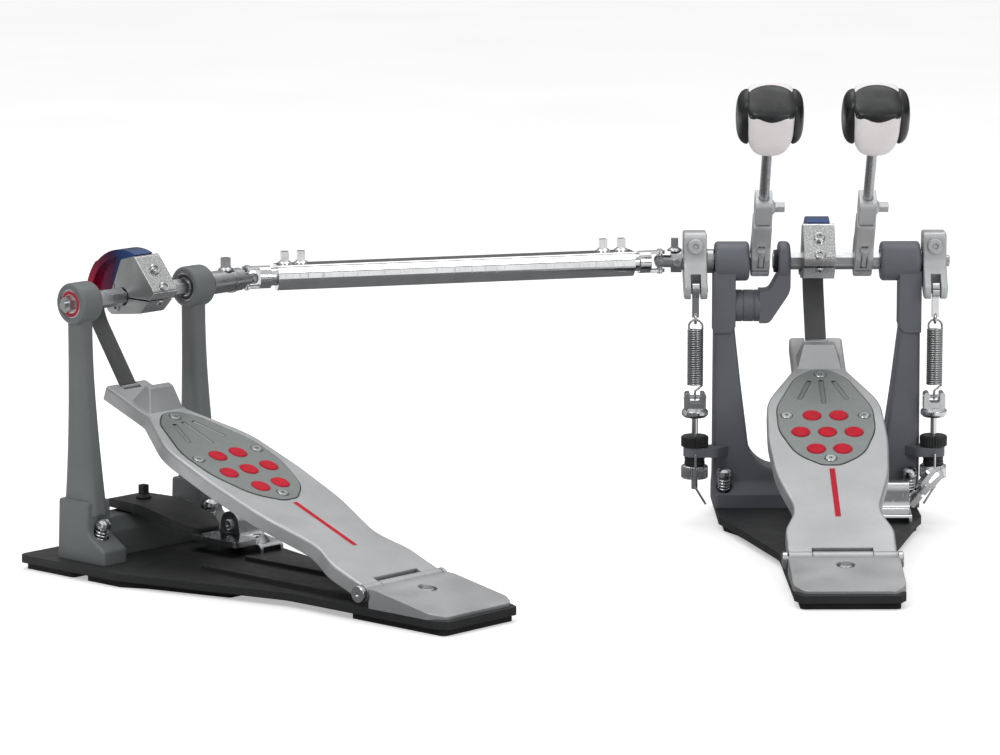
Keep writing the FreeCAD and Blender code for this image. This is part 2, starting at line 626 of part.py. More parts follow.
GRIP_SCREWS = ((0, 253.9), (-30.2, 193.2), (30.2, 193.2), (0, 131.3))
DOTS = ((-10.4, 193), (10.4, 193), (-20.6, 169), (0, 169), (20.6, 169), (-10.2, 144.8), (10.2, 144.8))
GROOVES = ((0, 245, 0, 211), (-9.5, 244, -18.5, 217), (9.5, 244, 18.5, 217))


def grip_plate(label, frame):
    """Thin shield let into the board, with grip dots' seats and three fanned grooves."""
    level = "board_top - grip_sink"
    body = pad(new_body("Grip"), "XY", level, f"{level} + grip_thick", mirrored(grip_outline()))
    rooms = [round_bar("ScrewRoom", 4.6, 6, (x, y, f"{level} - 2")) for x, y in GRIP_SCREWS]
    rooms += [round_bar("DotRoom", "dot_radius + 0.1", 6, (x, y, f"{level} + grip_thick - 0.7")) for x, y in DOTS]
    for x0, y0, x1, y1 in GROOVES:
        start = Vector(x0, y0, value(f"{level} + grip_thick + 1.6"))
        run = Vector(x1 - x0, y1 - y0, 0)
        rooms.append(round_bar("Groove", 2.4, run.Length, tuple(start), run))
    node(label, cut(body, *rooms), frame)


def grip_dots(label, frame):
    """Seven low grip dots and the stripe inlay."""
    level = "board_top - grip_sink + grip_thick"
    dome = [(0, -0.7), ("dot_radius", -0.7), ("dot_radius", 0.3), ("dot_radius - 0.9", 0.9), (0, 1.1)]
    dots = [turned("Dot", dome, (x, y, level)) for x, y in DOTS]
    stripe = block("Stripe", (-2, 50.6, "board_top - 0.4"), (2, 117.5, "board_top + 0.1"))
    node(label, group(*dots, stripe), frame)


def board_screws(label, frame):
    """Button-head screws of the grip plate."""
    screws = []
    for x, y in GRIP_SCREWS:
        head = screw_head("GripScrew", 4.4, 2.2, (x, y, "board_top - grip_sink"), Z, 1.5)
        screws.append(fuse(head, round_bar("GripShank", 2, 5, (x, y, 0))))
    node(label, group(*screws), frame)


def belt_clamp(label, frame):
    """Round bar at the toe that grips the belt's lower end."""
    bar = round_bar("ClampBar", 2.2, "2 * belt_half", ("-belt_half", "belt_foot", "belt_rise"), X)
    node(label, bar, frame)


def belt_run(tilt):
    """Lean from upright and length of the straight belt, from its foot to where it touches the cam."""
    slope = math.radians(value(tilt))
    foot_y = value("heel_pin_y") + value("belt_foot") * math.cos(slope) - value("belt_rise") * math.sin(slope)
    foot_z = value("heel_pin_z") + value("belt_foot") * math.sin(slope) + value("belt_rise") * math.cos(slope)
    back = foot_y - value("cam_y")
    up = value("cam_z") - foot_z
    reach = math.hypot(back, up)
    radius = value("cam_radius + belt_gap + belt_thick / 2")
    lean = math.degrees(math.asin(radius / reach) - math.atan2(back, up))
    return lean, math.sqrt(reach ** 2 - radius ** 2)


def belt(label, frame, tilt):
    """The straight run of the belt, from the toe to where it meets the cam."""
    lean, length = belt_run(tilt)
    half = "belt_thick / 2"
    strap = pad(new_body("Strap"), "XY", 2.6, length, [
        ("-belt_half", f"-{half}"), ("belt_half", f"-{half}"), ("belt_half", half), ("-belt_half", half)])
    strap.Placement = Placement(Vector(0, value("belt_foot"), value("belt_rise")), Rotation(X, -lean - value(tilt)))
    node(label, strap, frame)


# ---------------------------------------------------------------- shafts

def shaft(label, frame, spans, extras=()):
    """A hexagonal shaft with round journals. spans lists (kind, low, high) along X."""
    pieces = []
    for kind, low, high in spans:
        length = f"({high}) - ({low})"
        if kind == "hex":
            pieces.append(hexagon("Hex", "hex_flat", length, (low, 0, 0), X))
        else:
            pieces.append(round_bar("Journal", "journal_radius", length, (low, 0, 0), X))
    node(label, fuse(*pieces, *extras), frame)


def collar(name, low, high, radius):
    """A round collar about the shaft axis."""
    length = f"({high}) - ({low})"
    return turned(name, [(0, 0), (radius, 0, 0.8), (radius, length, 0.8), (0, length)], (low, 0, 0), X)


def main_shafts():
    """The two shafts of the main pedal: the right one is the pedal's own, the left one is driven."""
    cap = screw_head("EndBolt", 4.6, 3.2, ("right_line + lever_half + 0.2", 0, 0), X)
    shaft("hex_shaft", shaft_frame(main_frame()), [
        ("round", "arm_left - 4", "arm_right + 0.5"), ("hex", "arm_right + 0.5", "boss_right - 0.5"),
        ("round", "boss_right - 0.5", "boss_outer + 0.4"),
        ("hex", "boss_outer + 0.4", "right_line + lever_half + 0.4")],
        [collar("Collar", "boss_outer + 0.4", "right_line - lever_half - 0.1", 9.6), cap])
    shaft("hex_shaft_left", shaft_frame(main_frame()), [
        ("hex", -115, "-boss_outer - 0.4"), ("round", "-boss_outer - 0.4", "-boss_left + 0.5"),
        ("hex", "-boss_left + 0.5", "holder_left + holder_half + 0.3")],
        [collar("Collar", "left_line + lever_half + 0.1", "-boss_outer - 0.4", 9.6)])


def second_shaft(frame):
    nut = hexagon("EndNut", 11, 5, ("second_left_out - 4.6", 0, 0), X)
    stub = round_bar("EndStub", 3, 8, ("second_left_out - 7.5", 0, 0), X)
    shaft("slave_hex_shaft", shaft_frame(frame), [
        ("round", "second_left_out + 0.3", "second_left_in + 0.6"),
        ("hex", "second_left_in + 0.6", "second_right_in - 0.6"),
        ("round", "second_right_in - 0.6", "second_right_out + 0.6"), ("hex", "second_right_out + 0.6", 100)],
        [nut, stub])


def cam_hub(label, frame):
    """Clamp hub: two cheeks and a front block about the shaft, with its screws."""
    side = [(0.8, 28, 3), (-14, 32, 3), (-36, 5.5, 3), (-19, -11.5, 4), (12, -15, 4), (18, -11, 3)]
    body = pad(new_body("Hub"), "YZ", "-hub_half", "hub_half", side)
    pocket(body, "YZ", "-cam_half - 0.3", "cam_half + 0.3", [
        (-13.3, 40), (-13.3, 33.2), (9.4, 9.6), (9.4, -9.6), (40, -9.6), (40, 40)])
    slit = block("HubSlit", (-20, -37, -1.4), (20, 0, 0))
    bore = round_bar("HubBore", "hex_bore", 40, (-20, 0, 0), X)
    side_slit = block("HubSideSlit", (-20, 8, -9), (20, 9, 9))
    face = Vector(0, -26.5, 22).normalize()
    screws = []
    for height in (21.5, 9):
        along = (32 - height) / 26.5
        spot = (0, -14 - 22 * along - 0.3, height)
        screws.append(screw_head("HubScrew", 4.2, 2.6, spot, face, 2))
    for x in (-1, 1):
        screws.append(screw_head("SetScrew", 3, 1.6, (f"{x} * hub_half", 6, -9), X * x, 1.4))
    screws.append(screw_head("LowScrew", 3, 1.6, (0, -27.5, -3.1), Vector(0, -0.7, -0.7), 1.4))
    node(label, fuse(cut(body, bore, slit, side_slit), *screws), frame)


def cam(label, frame):
    """Sector cam that the belt wraps, let in between the hub's cheeks, with hollowed flanks."""
    disc = round_bar("CamDisc", "cam_radius", "2 * cam_half", ("-cam_half", "cam_y", "cam_z - shaft_height"), X)
    sector = pad(new_body("CamSector"), "YZ", "-cam_half", "cam_half", [
        (-12.6, 60), (-12.6, 33.5), (9.8, 10.2), (9.8, -8.6), (60, -8.6), (60, 60)])
    blank = common(disc, sector)
    hollows = []
    for low in (-20, 4):
        ring = round_bar("CamHollow", "cam_radius - 5", 16, (low, "cam_y", "cam_z - shaft_height"), X)
        keep = pad(new_body("HollowKeep"), "YZ", str(low), str(low + 16), [
            (-3, 60), (14, 14, 3), (14, -3), (60, -3), (60, 60)])
        hollows.append(common(ring, keep))
    node(label, cut(blank, *hollows), frame)


def beater_holder(label, frame):
    """Holder clamped on the shaft, with the rod's socket block and its key bolts."""
    half = "holder_half"
    body = pad(new_body("Holder"), "YZ", f"-{half}", half, [
        (-11, -11, 9), (11, -11, 9), (12, 14, 8), (8.6, 24, 6), (8.6, 48, 2), (-8.6, 48, 2), (-8.6, 24, 6),
        (-12.5, 14, 6)])
    soften(body, 1.4, lambda e: abs(abs(e.CenterOfMass.x) - value(half)) < 0.01)
    top = pad(new_body("RodClamp"), "YZ", f"-{half} + 0.6", f"{half} - 0.6", [
        (-9.5, 50.5, 2), (9.5, 50.5, 2), (9.5, 73, 3), (-9.5, 73, 3)])
    neck = round_bar("Neck", 6.4, 4, (0, 0, 47.5))
    socket = round_bar("RodSocket", "beater_rod + 0.05", 100, (0, 0, 9.5))
    bore = round_bar("HolderBore", "hex_bore", 40, (-20, 0, 0), X)
    slot = block("HolderSlot", (-2.6, -20, 4), (2.6, -7.6, 26))
    slit = block("HolderSlit", (-20, -20, 0), (20, -3, 1.2))
    front_bolt = fuse(round_bar("FrontBolt", 2.5, 18, (0, -10.2, 6)), round_bar("FrontHead", 3.4, 4, (0, -10.4, 20)))
    side_bolt = key_bolt("RodBolt", ("holder_half - 0.7", 0, 62), X, 2)
    rear_screw = screw_head("RearScrew", 3, 1.4, (0, 8.5, 36), Y, 1.4)
    solid = cut(fuse(body, top, neck), socket, bore, slot, slit)
    node(label, fuse(solid, cut(fuse(front_bolt, side_bolt, rear_screw), socket)), frame)


def beater(side, frame):
    """A straight rod with a four-sided head at its end."""
    rod = turned("Rod", [(0, "rod_low"), ("beater_rod - 0.5", "rod_low"), ("beater_rod", "rod_low + 0.6"),
                         ("beater_rod", "beater_reach"), (0, "beater_reach")])
    node("beater_rod_" + side, rod, frame)
    low = "beater_reach - head_tall / 2"
    core = pad(new_body("Head"), "XY", low, f"{low} + head_tall", mirrored([
        ("head_wide / 2", "-head_deep / 2", 12), ("head_wide / 2", "head_deep / 2", 12)]))
    soften(core, 9, lambda e: abs(e.CenterOfMass.z - value(low)) < 0.01)
    bore = round_bar("HeadBore", "beater_rod + 0.02", value("beater_reach"), (0, 0, 0))
    node("beater_head_" + side, cut(core, bore), frame)


def spring_lever(side, frame):
    """Rocker on the shaft's end, forked at the bottom for the spring link."""
    half = "lever_half"
    pin = "lever_pin"
    body = pad(new_body("Lever"), "YZ", f"-{half}", half, [
        (-12, 24, 5), (11, 24, 5), (13, 4, 8), (10, -13, 8), (-14, -27.5, 6), (f"-{pin} - 7", -27.5, 6),
        (-27, -17, 6), (-13, 0, 14)])
    soften(body, 1.6, lambda e: abs(abs(e.CenterOfMass.x) - value(half)) < 0.01)
    bore = round_bar("LeverBore", "hex_bore", 40, (-20, 0, 0), X)
    fork = block("ForkSlot", (-4, -40, -40), (4, -9.6, -8))
    slit = block("LeverSlit", (-20, -0.6, 2), (20, 0.6, 40))
    bolt = fuse(screw_head("LeverBolt", 6, 4, (0, -12, 13.5), Y * -1, 2.4),
                round_bar("BoltShank", 2.4, 22, (0, -12, 13.5), Y))
    axle = round_bar("LinkPin", "lever_pin_radius", 19.4, (-9.7, f"-{pin}", f"-{pin}"), X)
    solid = cut(body, bore, fork, slit)
    node("spring_lever_" + side, fuse(solid, bolt, axle), frame)


# ---------------------------------------------------------------- springs

LINK_TOP = "shaft_height - lever_pin"


def spring_link(side, x, frame):
    """Link between the lever's pin and the spring, with a slotted eye that clears the pin's arc."""
    across = Vector(0, 0.9275, 0.3737)
    top = Vector(value(x), value("spring_y"), value(LINK_TOP))
    eye = pad(new_body("LinkEye"), "YZ", f"{x} - 2.75", f"{x} + 2.75", ["circle", "spring_y - 0.9", LINK_TOP, 6.2])
    room = hull_slot(top + across * 0.4, top - across * 2.6, 2.4, value(x))
    strap = block("LinkStrap", (f"{x} - 2.75", "spring_y - 2", "coil_high + 8"),
                  (f"{x} + 2.75", "spring_y + 2", LINK_TOP))
    ring = doc.addObject("Part::Torus", "LinkRing")
    ring.Radius1 = 3.6
    ring.Radius2 = 1.1
    ring.Placement = Placement(Vector(value(x), value("spring_y"), value("coil_high + 7")), Rotation(Z, X))
    node("spring_link_" + side, fuse(cut(fuse(eye, strap), room), ring), frame)


def hull_slot(start, end, radius, x):
    """A slotted hole across X between two centres."""
    run = end - start
    ends = [round_bar("SlotEnd", radius, 20, (x - 10, p.y, p.z), X) for p in (start, end)]
    middle = doc.addObject("Part::Box", "SlotMiddle")
    middle.Length = 20
    middle.Width = run.Length
    middle.Height = 2 * radius
    turn = Rotation(X, math.degrees(math.atan2(run.z, run.y)))
    middle.Placement = Placement(Vector(x - 10, start.y, start.z) + turn.multVec(Vector(0, 0, -radius)), turn)
    return fuse(middle, *ends)


def spring(side, x, frame):
    """Tension coil between the link and the tension rod."""
    body = new_body("Coil")
    wire = ("circle", "spring_radius - spring_wire / 2", "coil_low + spring_wire", "spring_wire / 2")
    profile = new_sketch(body, "XZ", 0, [wire])
    coil = body.newObject("PartDesign::AdditiveHelix", "Helix")
    coil.Profile = profile
    coil.ReferenceAxis = (profile, ["V_Axis"])
    coil.Mode = "height-turns-angle"
    drive(coil, Height="coil_high - coil_low - 2 * spring_wire", Turns="coil_turns")
    body.Placement = Placement(Vector(value(x), value("spring_y"), 0), Rotation())
    node("spring_" + side, body, frame)


def tension_rods():
    """Spring seats: a clevis, its flanged nut, the threaded rod and the bent locking wire, on each side."""
    pieces = []
    for x in ("left_line", "right_line"):
        spot = (x, "spring_y", 0)
        clevis = pad(new_body("Clevis"), "XZ", "spring_y - 6.5", "spring_y + 6.5", [
            (f"{x} - 8.5", 91), (f"{x} + 8.5", 91), (f"{x} + 8.5", 104, 2.5), (f"{x} + 4.2", 104, 1),
            (f"{x} + 4.2", 96, 2), (f"{x} - 4.2", 96, 2), (f"{x} - 4.2", 104, 1), (f"{x} - 8.5", 104, 2.5)])
        pin = round_bar("ClevisPin", 1.6, 18, (f"{x} - 9", "spring_y", 100), X)
        stem = turned("TensionRod", [(0, 26), (2.3, 26), ("rod_radius", 27), ("rod_radius", 84), (8.4, 84),
                                     (10.5, 86, 1), (10.5, 89, 1), (8.2, 91.5), (0, 91.5)], spot)
        pieces.append(fuse(clevis, pin, stem))
        side = 1 if value(x) < 0 else -1
        down = turned("WireDown", [(0, 29), (0.9, 29), (0.9, 56), (0, 56)], (x, "spring_y - 12.6", 0))
        bend = round_bar("WireBend", 0.9, 16, (x, "spring_y - 12.6", 29.5), Vector(0.52 * side, 0, -0.85))
        hook = round_bar("WireHook", 0.85, 3.2, (x, "spring_y - 12.6", 54.9), Y)
        knee = ball("WireKnee", 1, (x, "spring_y - 12.6", 29.5))
        pieces.append(fuse(down, bend, hook, knee))
    node("tension_rods", group(*pieces), main_frame())


def locking_collars():
    """Knurled black knobs above the ears and black bushes below them."""
    pieces = []
    for x in ("left_line", "right_line"):
        spot = (x, "spring_y", 0)
        bore = "rod_radius + 0.02"
        pieces.append(turned("Knob", [(bore, 60.05), (8, 60.05), (10.9, 60.9, 0.6), (10.9, 68.4, 0.8), (8.6, 69.2),
                                      (bore, 69.2)], spot))
        pieces.append(turned("Bush", [(bore, 45.6), (8.1, 45.6), (8.1, 52.55), (bore, 52.55)], spot))
    node("locking_collars", group(*pieces), main_frame())


def tension_nut(side, x):
    """Knurled adjusting nut under the ear."""
    nut = turned("Nut", [("rod_radius + 0.05", 34.8), (9.6, 34.8), (10.7, 36, 0.4), (10.7, 44.2, 0.4), (9.6, 45.4),
                         ("rod_radius + 0.05", 45.4)], (x, "spring_y", 0))
    node("tension_nut_" + side, nut, main_frame())


# ---------------------------------------------------------------- drive shaft

def yoke(length, standing, ball_in=False):
    """A fork that opens towards its joint centre at the origin. Its barrel runs out along +X."""
    barrel = round_bar("YokeBarrel", "yoke_radius", length, (0, 0, 0), X)
    eyes = round_bar("YokeEyes", "yoke_ear + 0.4", "2 * yoke_radius - 0.8", (0, 0, "0.4 - yoke_radius"))
    gap = block("YokeGap", (-10, -30, "-yoke_gap"), ("yoke_depth - 2", 30, "yoke_gap"))
    trims = [block("YokeTrim", (-10, low, -30), ("yoke_depth - 2", high, 30))
             for low, high in (("yoke_ear", 30), (-30, "-yoke_ear"))]
    solid = cut(barrel, gap, *trims)
    stubs = [round_bar("YokeStub", 2.1, "yoke_radius + 0.9 - 4.3", (0, 0, 4.3)),
             round_bar("YokeStub", 2.1, "yoke_radius + 0.9 - 4.3", (0, 0, "-yoke_radius - 0.9"))]
    parts = [solid, cut(eyes, block("EyeGap", (-10, -30, "-yoke_gap"), (10, 30, "yoke_gap"))), *stubs]
    if ball_in:
        parts += [ball("Spider", 3.8, (0, 0, 0)), round_bar("SpiderPin", 2.1, 9, (0, 0, -4.5))]
    result = fuse(*parts)
    if not standing:
        result.Placement = Placement(Vector(), Rotation(X, 90))
    return result


def drive_forks():
    """Forks on the second pedal's shaft and on the main pedal's driven shaft, clamped by key bolts."""
    near = yoke("yoke_depth + 6.4", False, True)
    near_bore = round_bar("ForkBore", "hex_bore", 20, (9.9, 0, 0), X)
    near_screw = screw_head("ForkScrew", 3.6, 2.6, (13.4, -8.3, 0), Y * -1, 1.8)
    near_bolt = key_bolt("ForkBolt", (11.9, 0, 8.4), Z, 1)
    node("drive_fork_right", fuse(fuse(cut(near, near_bore), near_bolt), near_screw),
         shaft_frame(main_frame(), "main_joint_x"))
    far = yoke(42, False, True)
    far_bore = round_bar("ForkBore", "hex_bore", 40, (19.5, 0, 0), X)
    ring = round_bar("ForkRing", 9.8, 2.4, (17, 0, 0), X)
    far_bolt = key_bolt("ForkBolt", (23, 0, 8.3), Z, 1)
    far_solid = fuse(cut(fuse(far, ring), far_bore), far_bolt)
    far_frame = shaft_frame(second_frame(), "second_joint_x").multiply(Placement(Vector(), Rotation(Z, 180)))
    node("slave_drive_fork", far_solid, far_frame)


def drive_shaft():
    """Telescoping drive shaft: a yoke at each end, a tube between them and the tube's clamp bolts."""
    frame = drive_frame()
    left = fuse(yoke(18, True), round_bar("LeftStem", "stem_radius", 74, (17, 0, 0), X))
    node("drive_yoke_left", left, frame)
    turn_round = Placement(Vector(value("drive_span"), 0, 0), Rotation(Z, 180))
    right = fuse(yoke(18, True), round_bar("RightStem", "stem_radius", 44, (17, 0, 0), X))
    node("drive_yoke_right", right, frame.multiply(turn_round))
    start = 23
    body = pad(new_body("Tube"), "YZ", start, f"drive_span - {start}", [
        ("-tube_radius + 1.5", 9.6, 2.5), ("-tube_radius", 4, 5), ("-tube_radius", -4, 8), ("-4", "-tube_radius", 8),
        (4, "-tube_radius", 8), ("tube_radius", -4, 8), ("tube_radius", 4, 5), ("tube_radius - 1.5", 9.6, 2.5)],
        ("circle", 0, 0, "tube_bore"))
    places = [30, 43, "drive_span - 47", "drive_span - 32"]
    holes = [round_bar("BoltHole", 2.45, 10, (x, 0, 5)) for x in places]
    node("drive_tube", cut(body, *holes), frame)
    node("tube_bolts", group(*[key_bolt("TubeBolt", (x, 0, 9.65), Z, 2.3) for x in places]), frame)


# ---------------------------------------------------------------- the whole pedal

def common_parts(prefix, frame, tilt, spur_x):
    """Everything that both pedals have."""
    board = board_frame(frame, tilt)
    axis = shaft_frame(frame)
    base_plate(prefix + "base_plate", frame)
    rubber_feet(prefix + "rubber_feet", frame)
    heel_plate(prefix + "heel_plate", frame)
    frame_screws(prefix + "frame_screws", frame, spur_x)
    clamp_bracket(prefix + "clamp_bracket", frame)
    wing_bolt(prefix + "wing_bolt", frame)
    hoop_jaw(prefix + "hoop_jaw", frame)
    footboard(prefix + "footboard", board)
    grip_plate(prefix + "grip_plate", board)
    grip_dots(prefix + "grip_dots", board)
    board_screws(prefix + "board_screws", board)
    belt_clamp(prefix + "belt_clamp", board)
    belt(prefix + "belt", board, tilt)
    cam_hub(prefix + "cam_hub", axis)
    cam(prefix + "cam", axis)


def main_pedal():
    frame = main_frame()
    common_parts("", frame, "main_tilt", "73.6")
    main_pedestal()
    center_arm()
    shaft_bearings()
    main_shafts()
    for side, x in (("left", "holder_left"), ("right", "holder_right")):
        leaning = shaft_frame(frame, x, "beater_lean")
        beater_holder("beater_holder_" + side, leaning)
        beater(side, leaning)
        spring_lever(side, shaft_frame(frame, side + "_line"))
        line = side + "_line"
        spring_link(side, line, frame)
        spring(side, line, frame)
        tension_nut(side, line)
    tension_rods()
    locking_collars()


def second_pedal():
    frame = second_frame()
    common_parts("slave_", frame, "second_tilt", "56")
    second_pedestal(frame)
    second_bearings(frame)
    second_shaft(frame)


main_pedal()
second_pedal()
drive_forks()
drive_shaft()
doc.recompute()

faults = [f"{o.Name} ({o.Label}) is {o.State}" for o in doc.Objects if {"Invalid", "Error"} & set(o.State)]
faults += [f"{piece.Label} has no valid solid" for piece in nodes
           if piece.Shape.isNull() or not piece.Shape.isValid() or not piece.Shape.Solids]
if faults:
    raise RuntimeError("; ".join(faults))
os.makedirs("parts", exist_ok=True)
for piece in nodes:
    piece.Shape.exportStep(f"parts/{piece.Label}.step")
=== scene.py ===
"""Looks of the twin bass drum pedal: finishes, and the coiled, woven, fluted and moulded pieces."""
import json
import math

import bmesh
import bpy
from mathutils import Matrix, Vector


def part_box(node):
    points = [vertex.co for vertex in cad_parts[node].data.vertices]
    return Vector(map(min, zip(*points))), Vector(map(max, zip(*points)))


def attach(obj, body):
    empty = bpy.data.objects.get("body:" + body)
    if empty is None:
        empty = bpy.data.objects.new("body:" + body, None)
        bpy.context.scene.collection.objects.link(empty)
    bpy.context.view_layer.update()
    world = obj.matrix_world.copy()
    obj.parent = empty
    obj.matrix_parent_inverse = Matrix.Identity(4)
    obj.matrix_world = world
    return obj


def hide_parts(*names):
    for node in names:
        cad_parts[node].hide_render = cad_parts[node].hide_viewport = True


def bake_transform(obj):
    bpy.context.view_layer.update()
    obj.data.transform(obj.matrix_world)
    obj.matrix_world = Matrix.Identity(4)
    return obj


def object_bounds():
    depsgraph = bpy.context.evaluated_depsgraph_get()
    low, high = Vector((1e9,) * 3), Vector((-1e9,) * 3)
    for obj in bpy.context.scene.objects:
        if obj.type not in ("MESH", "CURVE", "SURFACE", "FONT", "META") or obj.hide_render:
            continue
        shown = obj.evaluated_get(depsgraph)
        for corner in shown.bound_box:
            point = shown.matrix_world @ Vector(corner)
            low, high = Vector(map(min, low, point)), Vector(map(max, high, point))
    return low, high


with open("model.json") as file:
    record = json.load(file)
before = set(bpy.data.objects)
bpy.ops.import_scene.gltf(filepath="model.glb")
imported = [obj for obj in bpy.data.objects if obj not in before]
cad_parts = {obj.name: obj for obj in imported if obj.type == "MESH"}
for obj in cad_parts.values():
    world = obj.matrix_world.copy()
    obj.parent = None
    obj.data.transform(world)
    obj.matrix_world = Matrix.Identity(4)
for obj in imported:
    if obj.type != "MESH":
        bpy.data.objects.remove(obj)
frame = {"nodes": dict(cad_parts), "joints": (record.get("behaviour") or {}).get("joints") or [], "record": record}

CAD_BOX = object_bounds()
MM = 0.001
CAM_RADIUS = 40 * MM
# Angles about the shaft from straight back: where the cam's face ends, and where the belt is clamped.
CAM_REAR = math.radians(-5)
WRAP_END = math.radians(43)
# The bend of the belt over the cam and the turning wrap meet at CAM_REAR; the wrap lies this much higher.
WRAP_LIFT = 0.05 * MM


# ---------------------------------------------------------------- places taken from the frame

def joint(name):
    return next(j for j in frame["joints"] if j["name"] == name)


def pedal_pose(shaft_joint):
    """Where a pedal stands: X along its shaft, origin on the floor under the shaft's middle."""
    turn = joint(shaft_joint)
    across = -Vector(turn["axis"])
    spot = Vector(turn["pos_m"])
    pose = Matrix.Rotation(math.atan2(across.y, across.x), 4, "Z")
    pose.translation = (spot.x, spot.y, 0)
    return pose


MAIN = pedal_pose("shaft_turn")
SECOND = pedal_pose("slave_shaft_turn")
SHAFT_HEIGHT = joint("shaft_turn")["pos_m"][2]


def middle(node):
    low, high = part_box(node)
    return (low + high) / 2


# ---------------------------------------------------------------- finishes

def display(red, green, blue):
    """A display colour of 0 to 255 parts, as the linear colour that a shader takes."""
    parts = [v / 255 for v in (red, green, blue)]
    return (*[p / 12.92 if p < 0.0405 else ((p + 0.055) / 1.055) ** 2.4 for p in parts], 1)


def shade(colour, share):
    """The colour made darker or lighter by a share."""
    return (*[min(1, c * share) for c in colour[:3]], 1)


class Finish:
    """A node material being built. Each method adds nodes and gives the socket to read."""

    def __init__(self, name, pose=None):
        self.material = bpy.data.materials.new(name)
        self.material.use_nodes = True
        self.tree = self.material.node_tree
        self.shader = self.tree.nodes["Principled BSDF"]
        self.place = self.node("ShaderNodeTexCoord").outputs["Object"]
        if pose:
            turn = self.node("ShaderNodeMapping", {"Vector": self.place}, vector_type="TEXTURE")
            turn.inputs["Location"].default_value = pose.translation
            turn.inputs["Rotation"].default_value = pose.to_euler()
            self.place = turn.outputs["Vector"]

    def node(self, kind, inputs=None, **settings):
        made = self.tree.nodes.new(kind)
        for key, setting in settings.items():
            setattr(made, key, setting)
        for key, source in (inputs or {}).items():
            self.feed(made.inputs[key], source)
        return made

    def feed(self, socket, source):
        if isinstance(source, bpy.types.NodeSocket):
            self.tree.links.new(source, socket)
        else:
            socket.default_value = source

    def set(self, **inputs):
        for key, source in inputs.items():
            self.feed(self.shader.inputs[key.replace("_", " ")], source)

    def calc(self, operation, *sources):
        made = self.node("ShaderNodeMath", dict(enumerate(sources)), operation=operation)
        return made.outputs[0]

    def noise(self, scale, detail=3, stretch=(1, 1, 1)):
        place = self.node("ShaderNodeMapping", {"Vector": self.place, "Scale": stretch})
        inputs = {"Vector": place.outputs["Vector"], "Scale": scale, "Detail": detail}
        return self.node("ShaderNodeTexNoise", inputs).outputs[0]

    def span(self, source, low, high, to_low=0.0, to_high=1.0):
        inputs = {"Value": source, "From Min": low, "From Max": high, "To Min": to_low, "To Max": to_high}
        return self.node("ShaderNodeMapRange", inputs).outputs["Result"]

    def ramp(self, source, *stops):
        """Colour stops of (place from 0 to 1, colour)."""
        made = self.node("ShaderNodeValToRGB", {"Fac": source})
        elements = made.color_ramp.elements
        while len(elements) < len(stops):
            elements.new(0.5)
        for element, (spot, colour) in zip(elements, stops):
            element.position = spot
            element.color = colour
        return made.outputs["Color"]

    def mix(self, factor, first, second):
        """Colour mix. A mix node keeps its colour sockets at 6 and 7, and its colour result at 2."""
        made = self.node("ShaderNodeMix", {0: factor, 6: first, 7: second}, data_type="RGBA")
        return made.outputs[2]

    def split(self, source=None):
        return self.node("ShaderNodeSeparateXYZ", {"Vector": source or self.place}).outputs

    def rounded(self, radius):
        return self.node("ShaderNodeBevel", {"Radius": radius}, samples=4).outputs["Normal"]

    def edge(self, radius, high=0.25):
        """1 at an edge, 0 on a plain face."""
        plain = self.node("ShaderNodeNewGeometry").outputs["Normal"]
        pair = {0: self.rounded(radius), 1: plain}
        match = self.node("ShaderNodeVectorMath", pair, operation="DOT_PRODUCT").outputs["Value"]
        return self.span(match, 0.995, 1 - high)

    def painted_recess_shade(self, depth):
        """Near 1 in sockets, slots and tight corners, where painted shade darkens what the surface closes in."""
        cover = self.node("ShaderNodeAmbientOcclusion", {"Distance": depth}, samples=4)
        return self.span(cover.outputs["AO"], 0.65, 0.3)

    def bumps(self, *layers, normal=None):
        """Layers of (height, depth in millimetres) laid over a normal."""
        for height, depth in layers:
            inputs = {"Height": height, "Distance": depth * MM}
            if normal:
                inputs["Normal"] = normal
            normal = self.node("ShaderNodeBump", inputs).outputs["Normal"]
        self.set(Normal=normal)

    def done(self):
        return self.material


def painted(name, colour, roughness=0.42, peel=0.05, wear=1.45):
    """Satin paint over a casting: faint orange peel, clouded tone and rubbed edges."""
    f = Finish(name)
    cloud = f.ramp(f.noise(14, 4), (0.3, shade(colour, 0.9)), (0.7, shade(colour, 1.1)))
    speck = f.mix(f.span(f.noise(1600, 2), 0.62, 0.75, 0, 0.35), cloud, shade(colour, 1.5))
    rub = f.calc("MULTIPLY", f.edge(0.8 * MM), f.span(f.noise(90, 4), 0.35, 0.65, 0.15, 0.8))
    f.set(Base_Color=f.mix(rub, speck, shade(colour, wear)))
    f.set(Roughness=f.span(f.noise(60, 5), 0.3, 0.7, roughness - 0.06, roughness + 0.1))
    f.set(Specular_IOR_Level=0.5)
    f.bumps((f.noise(700, 2), peel), (f.noise(2600, 1), 0.02), normal=f.rounded(0.9 * MM))
    return f.done()


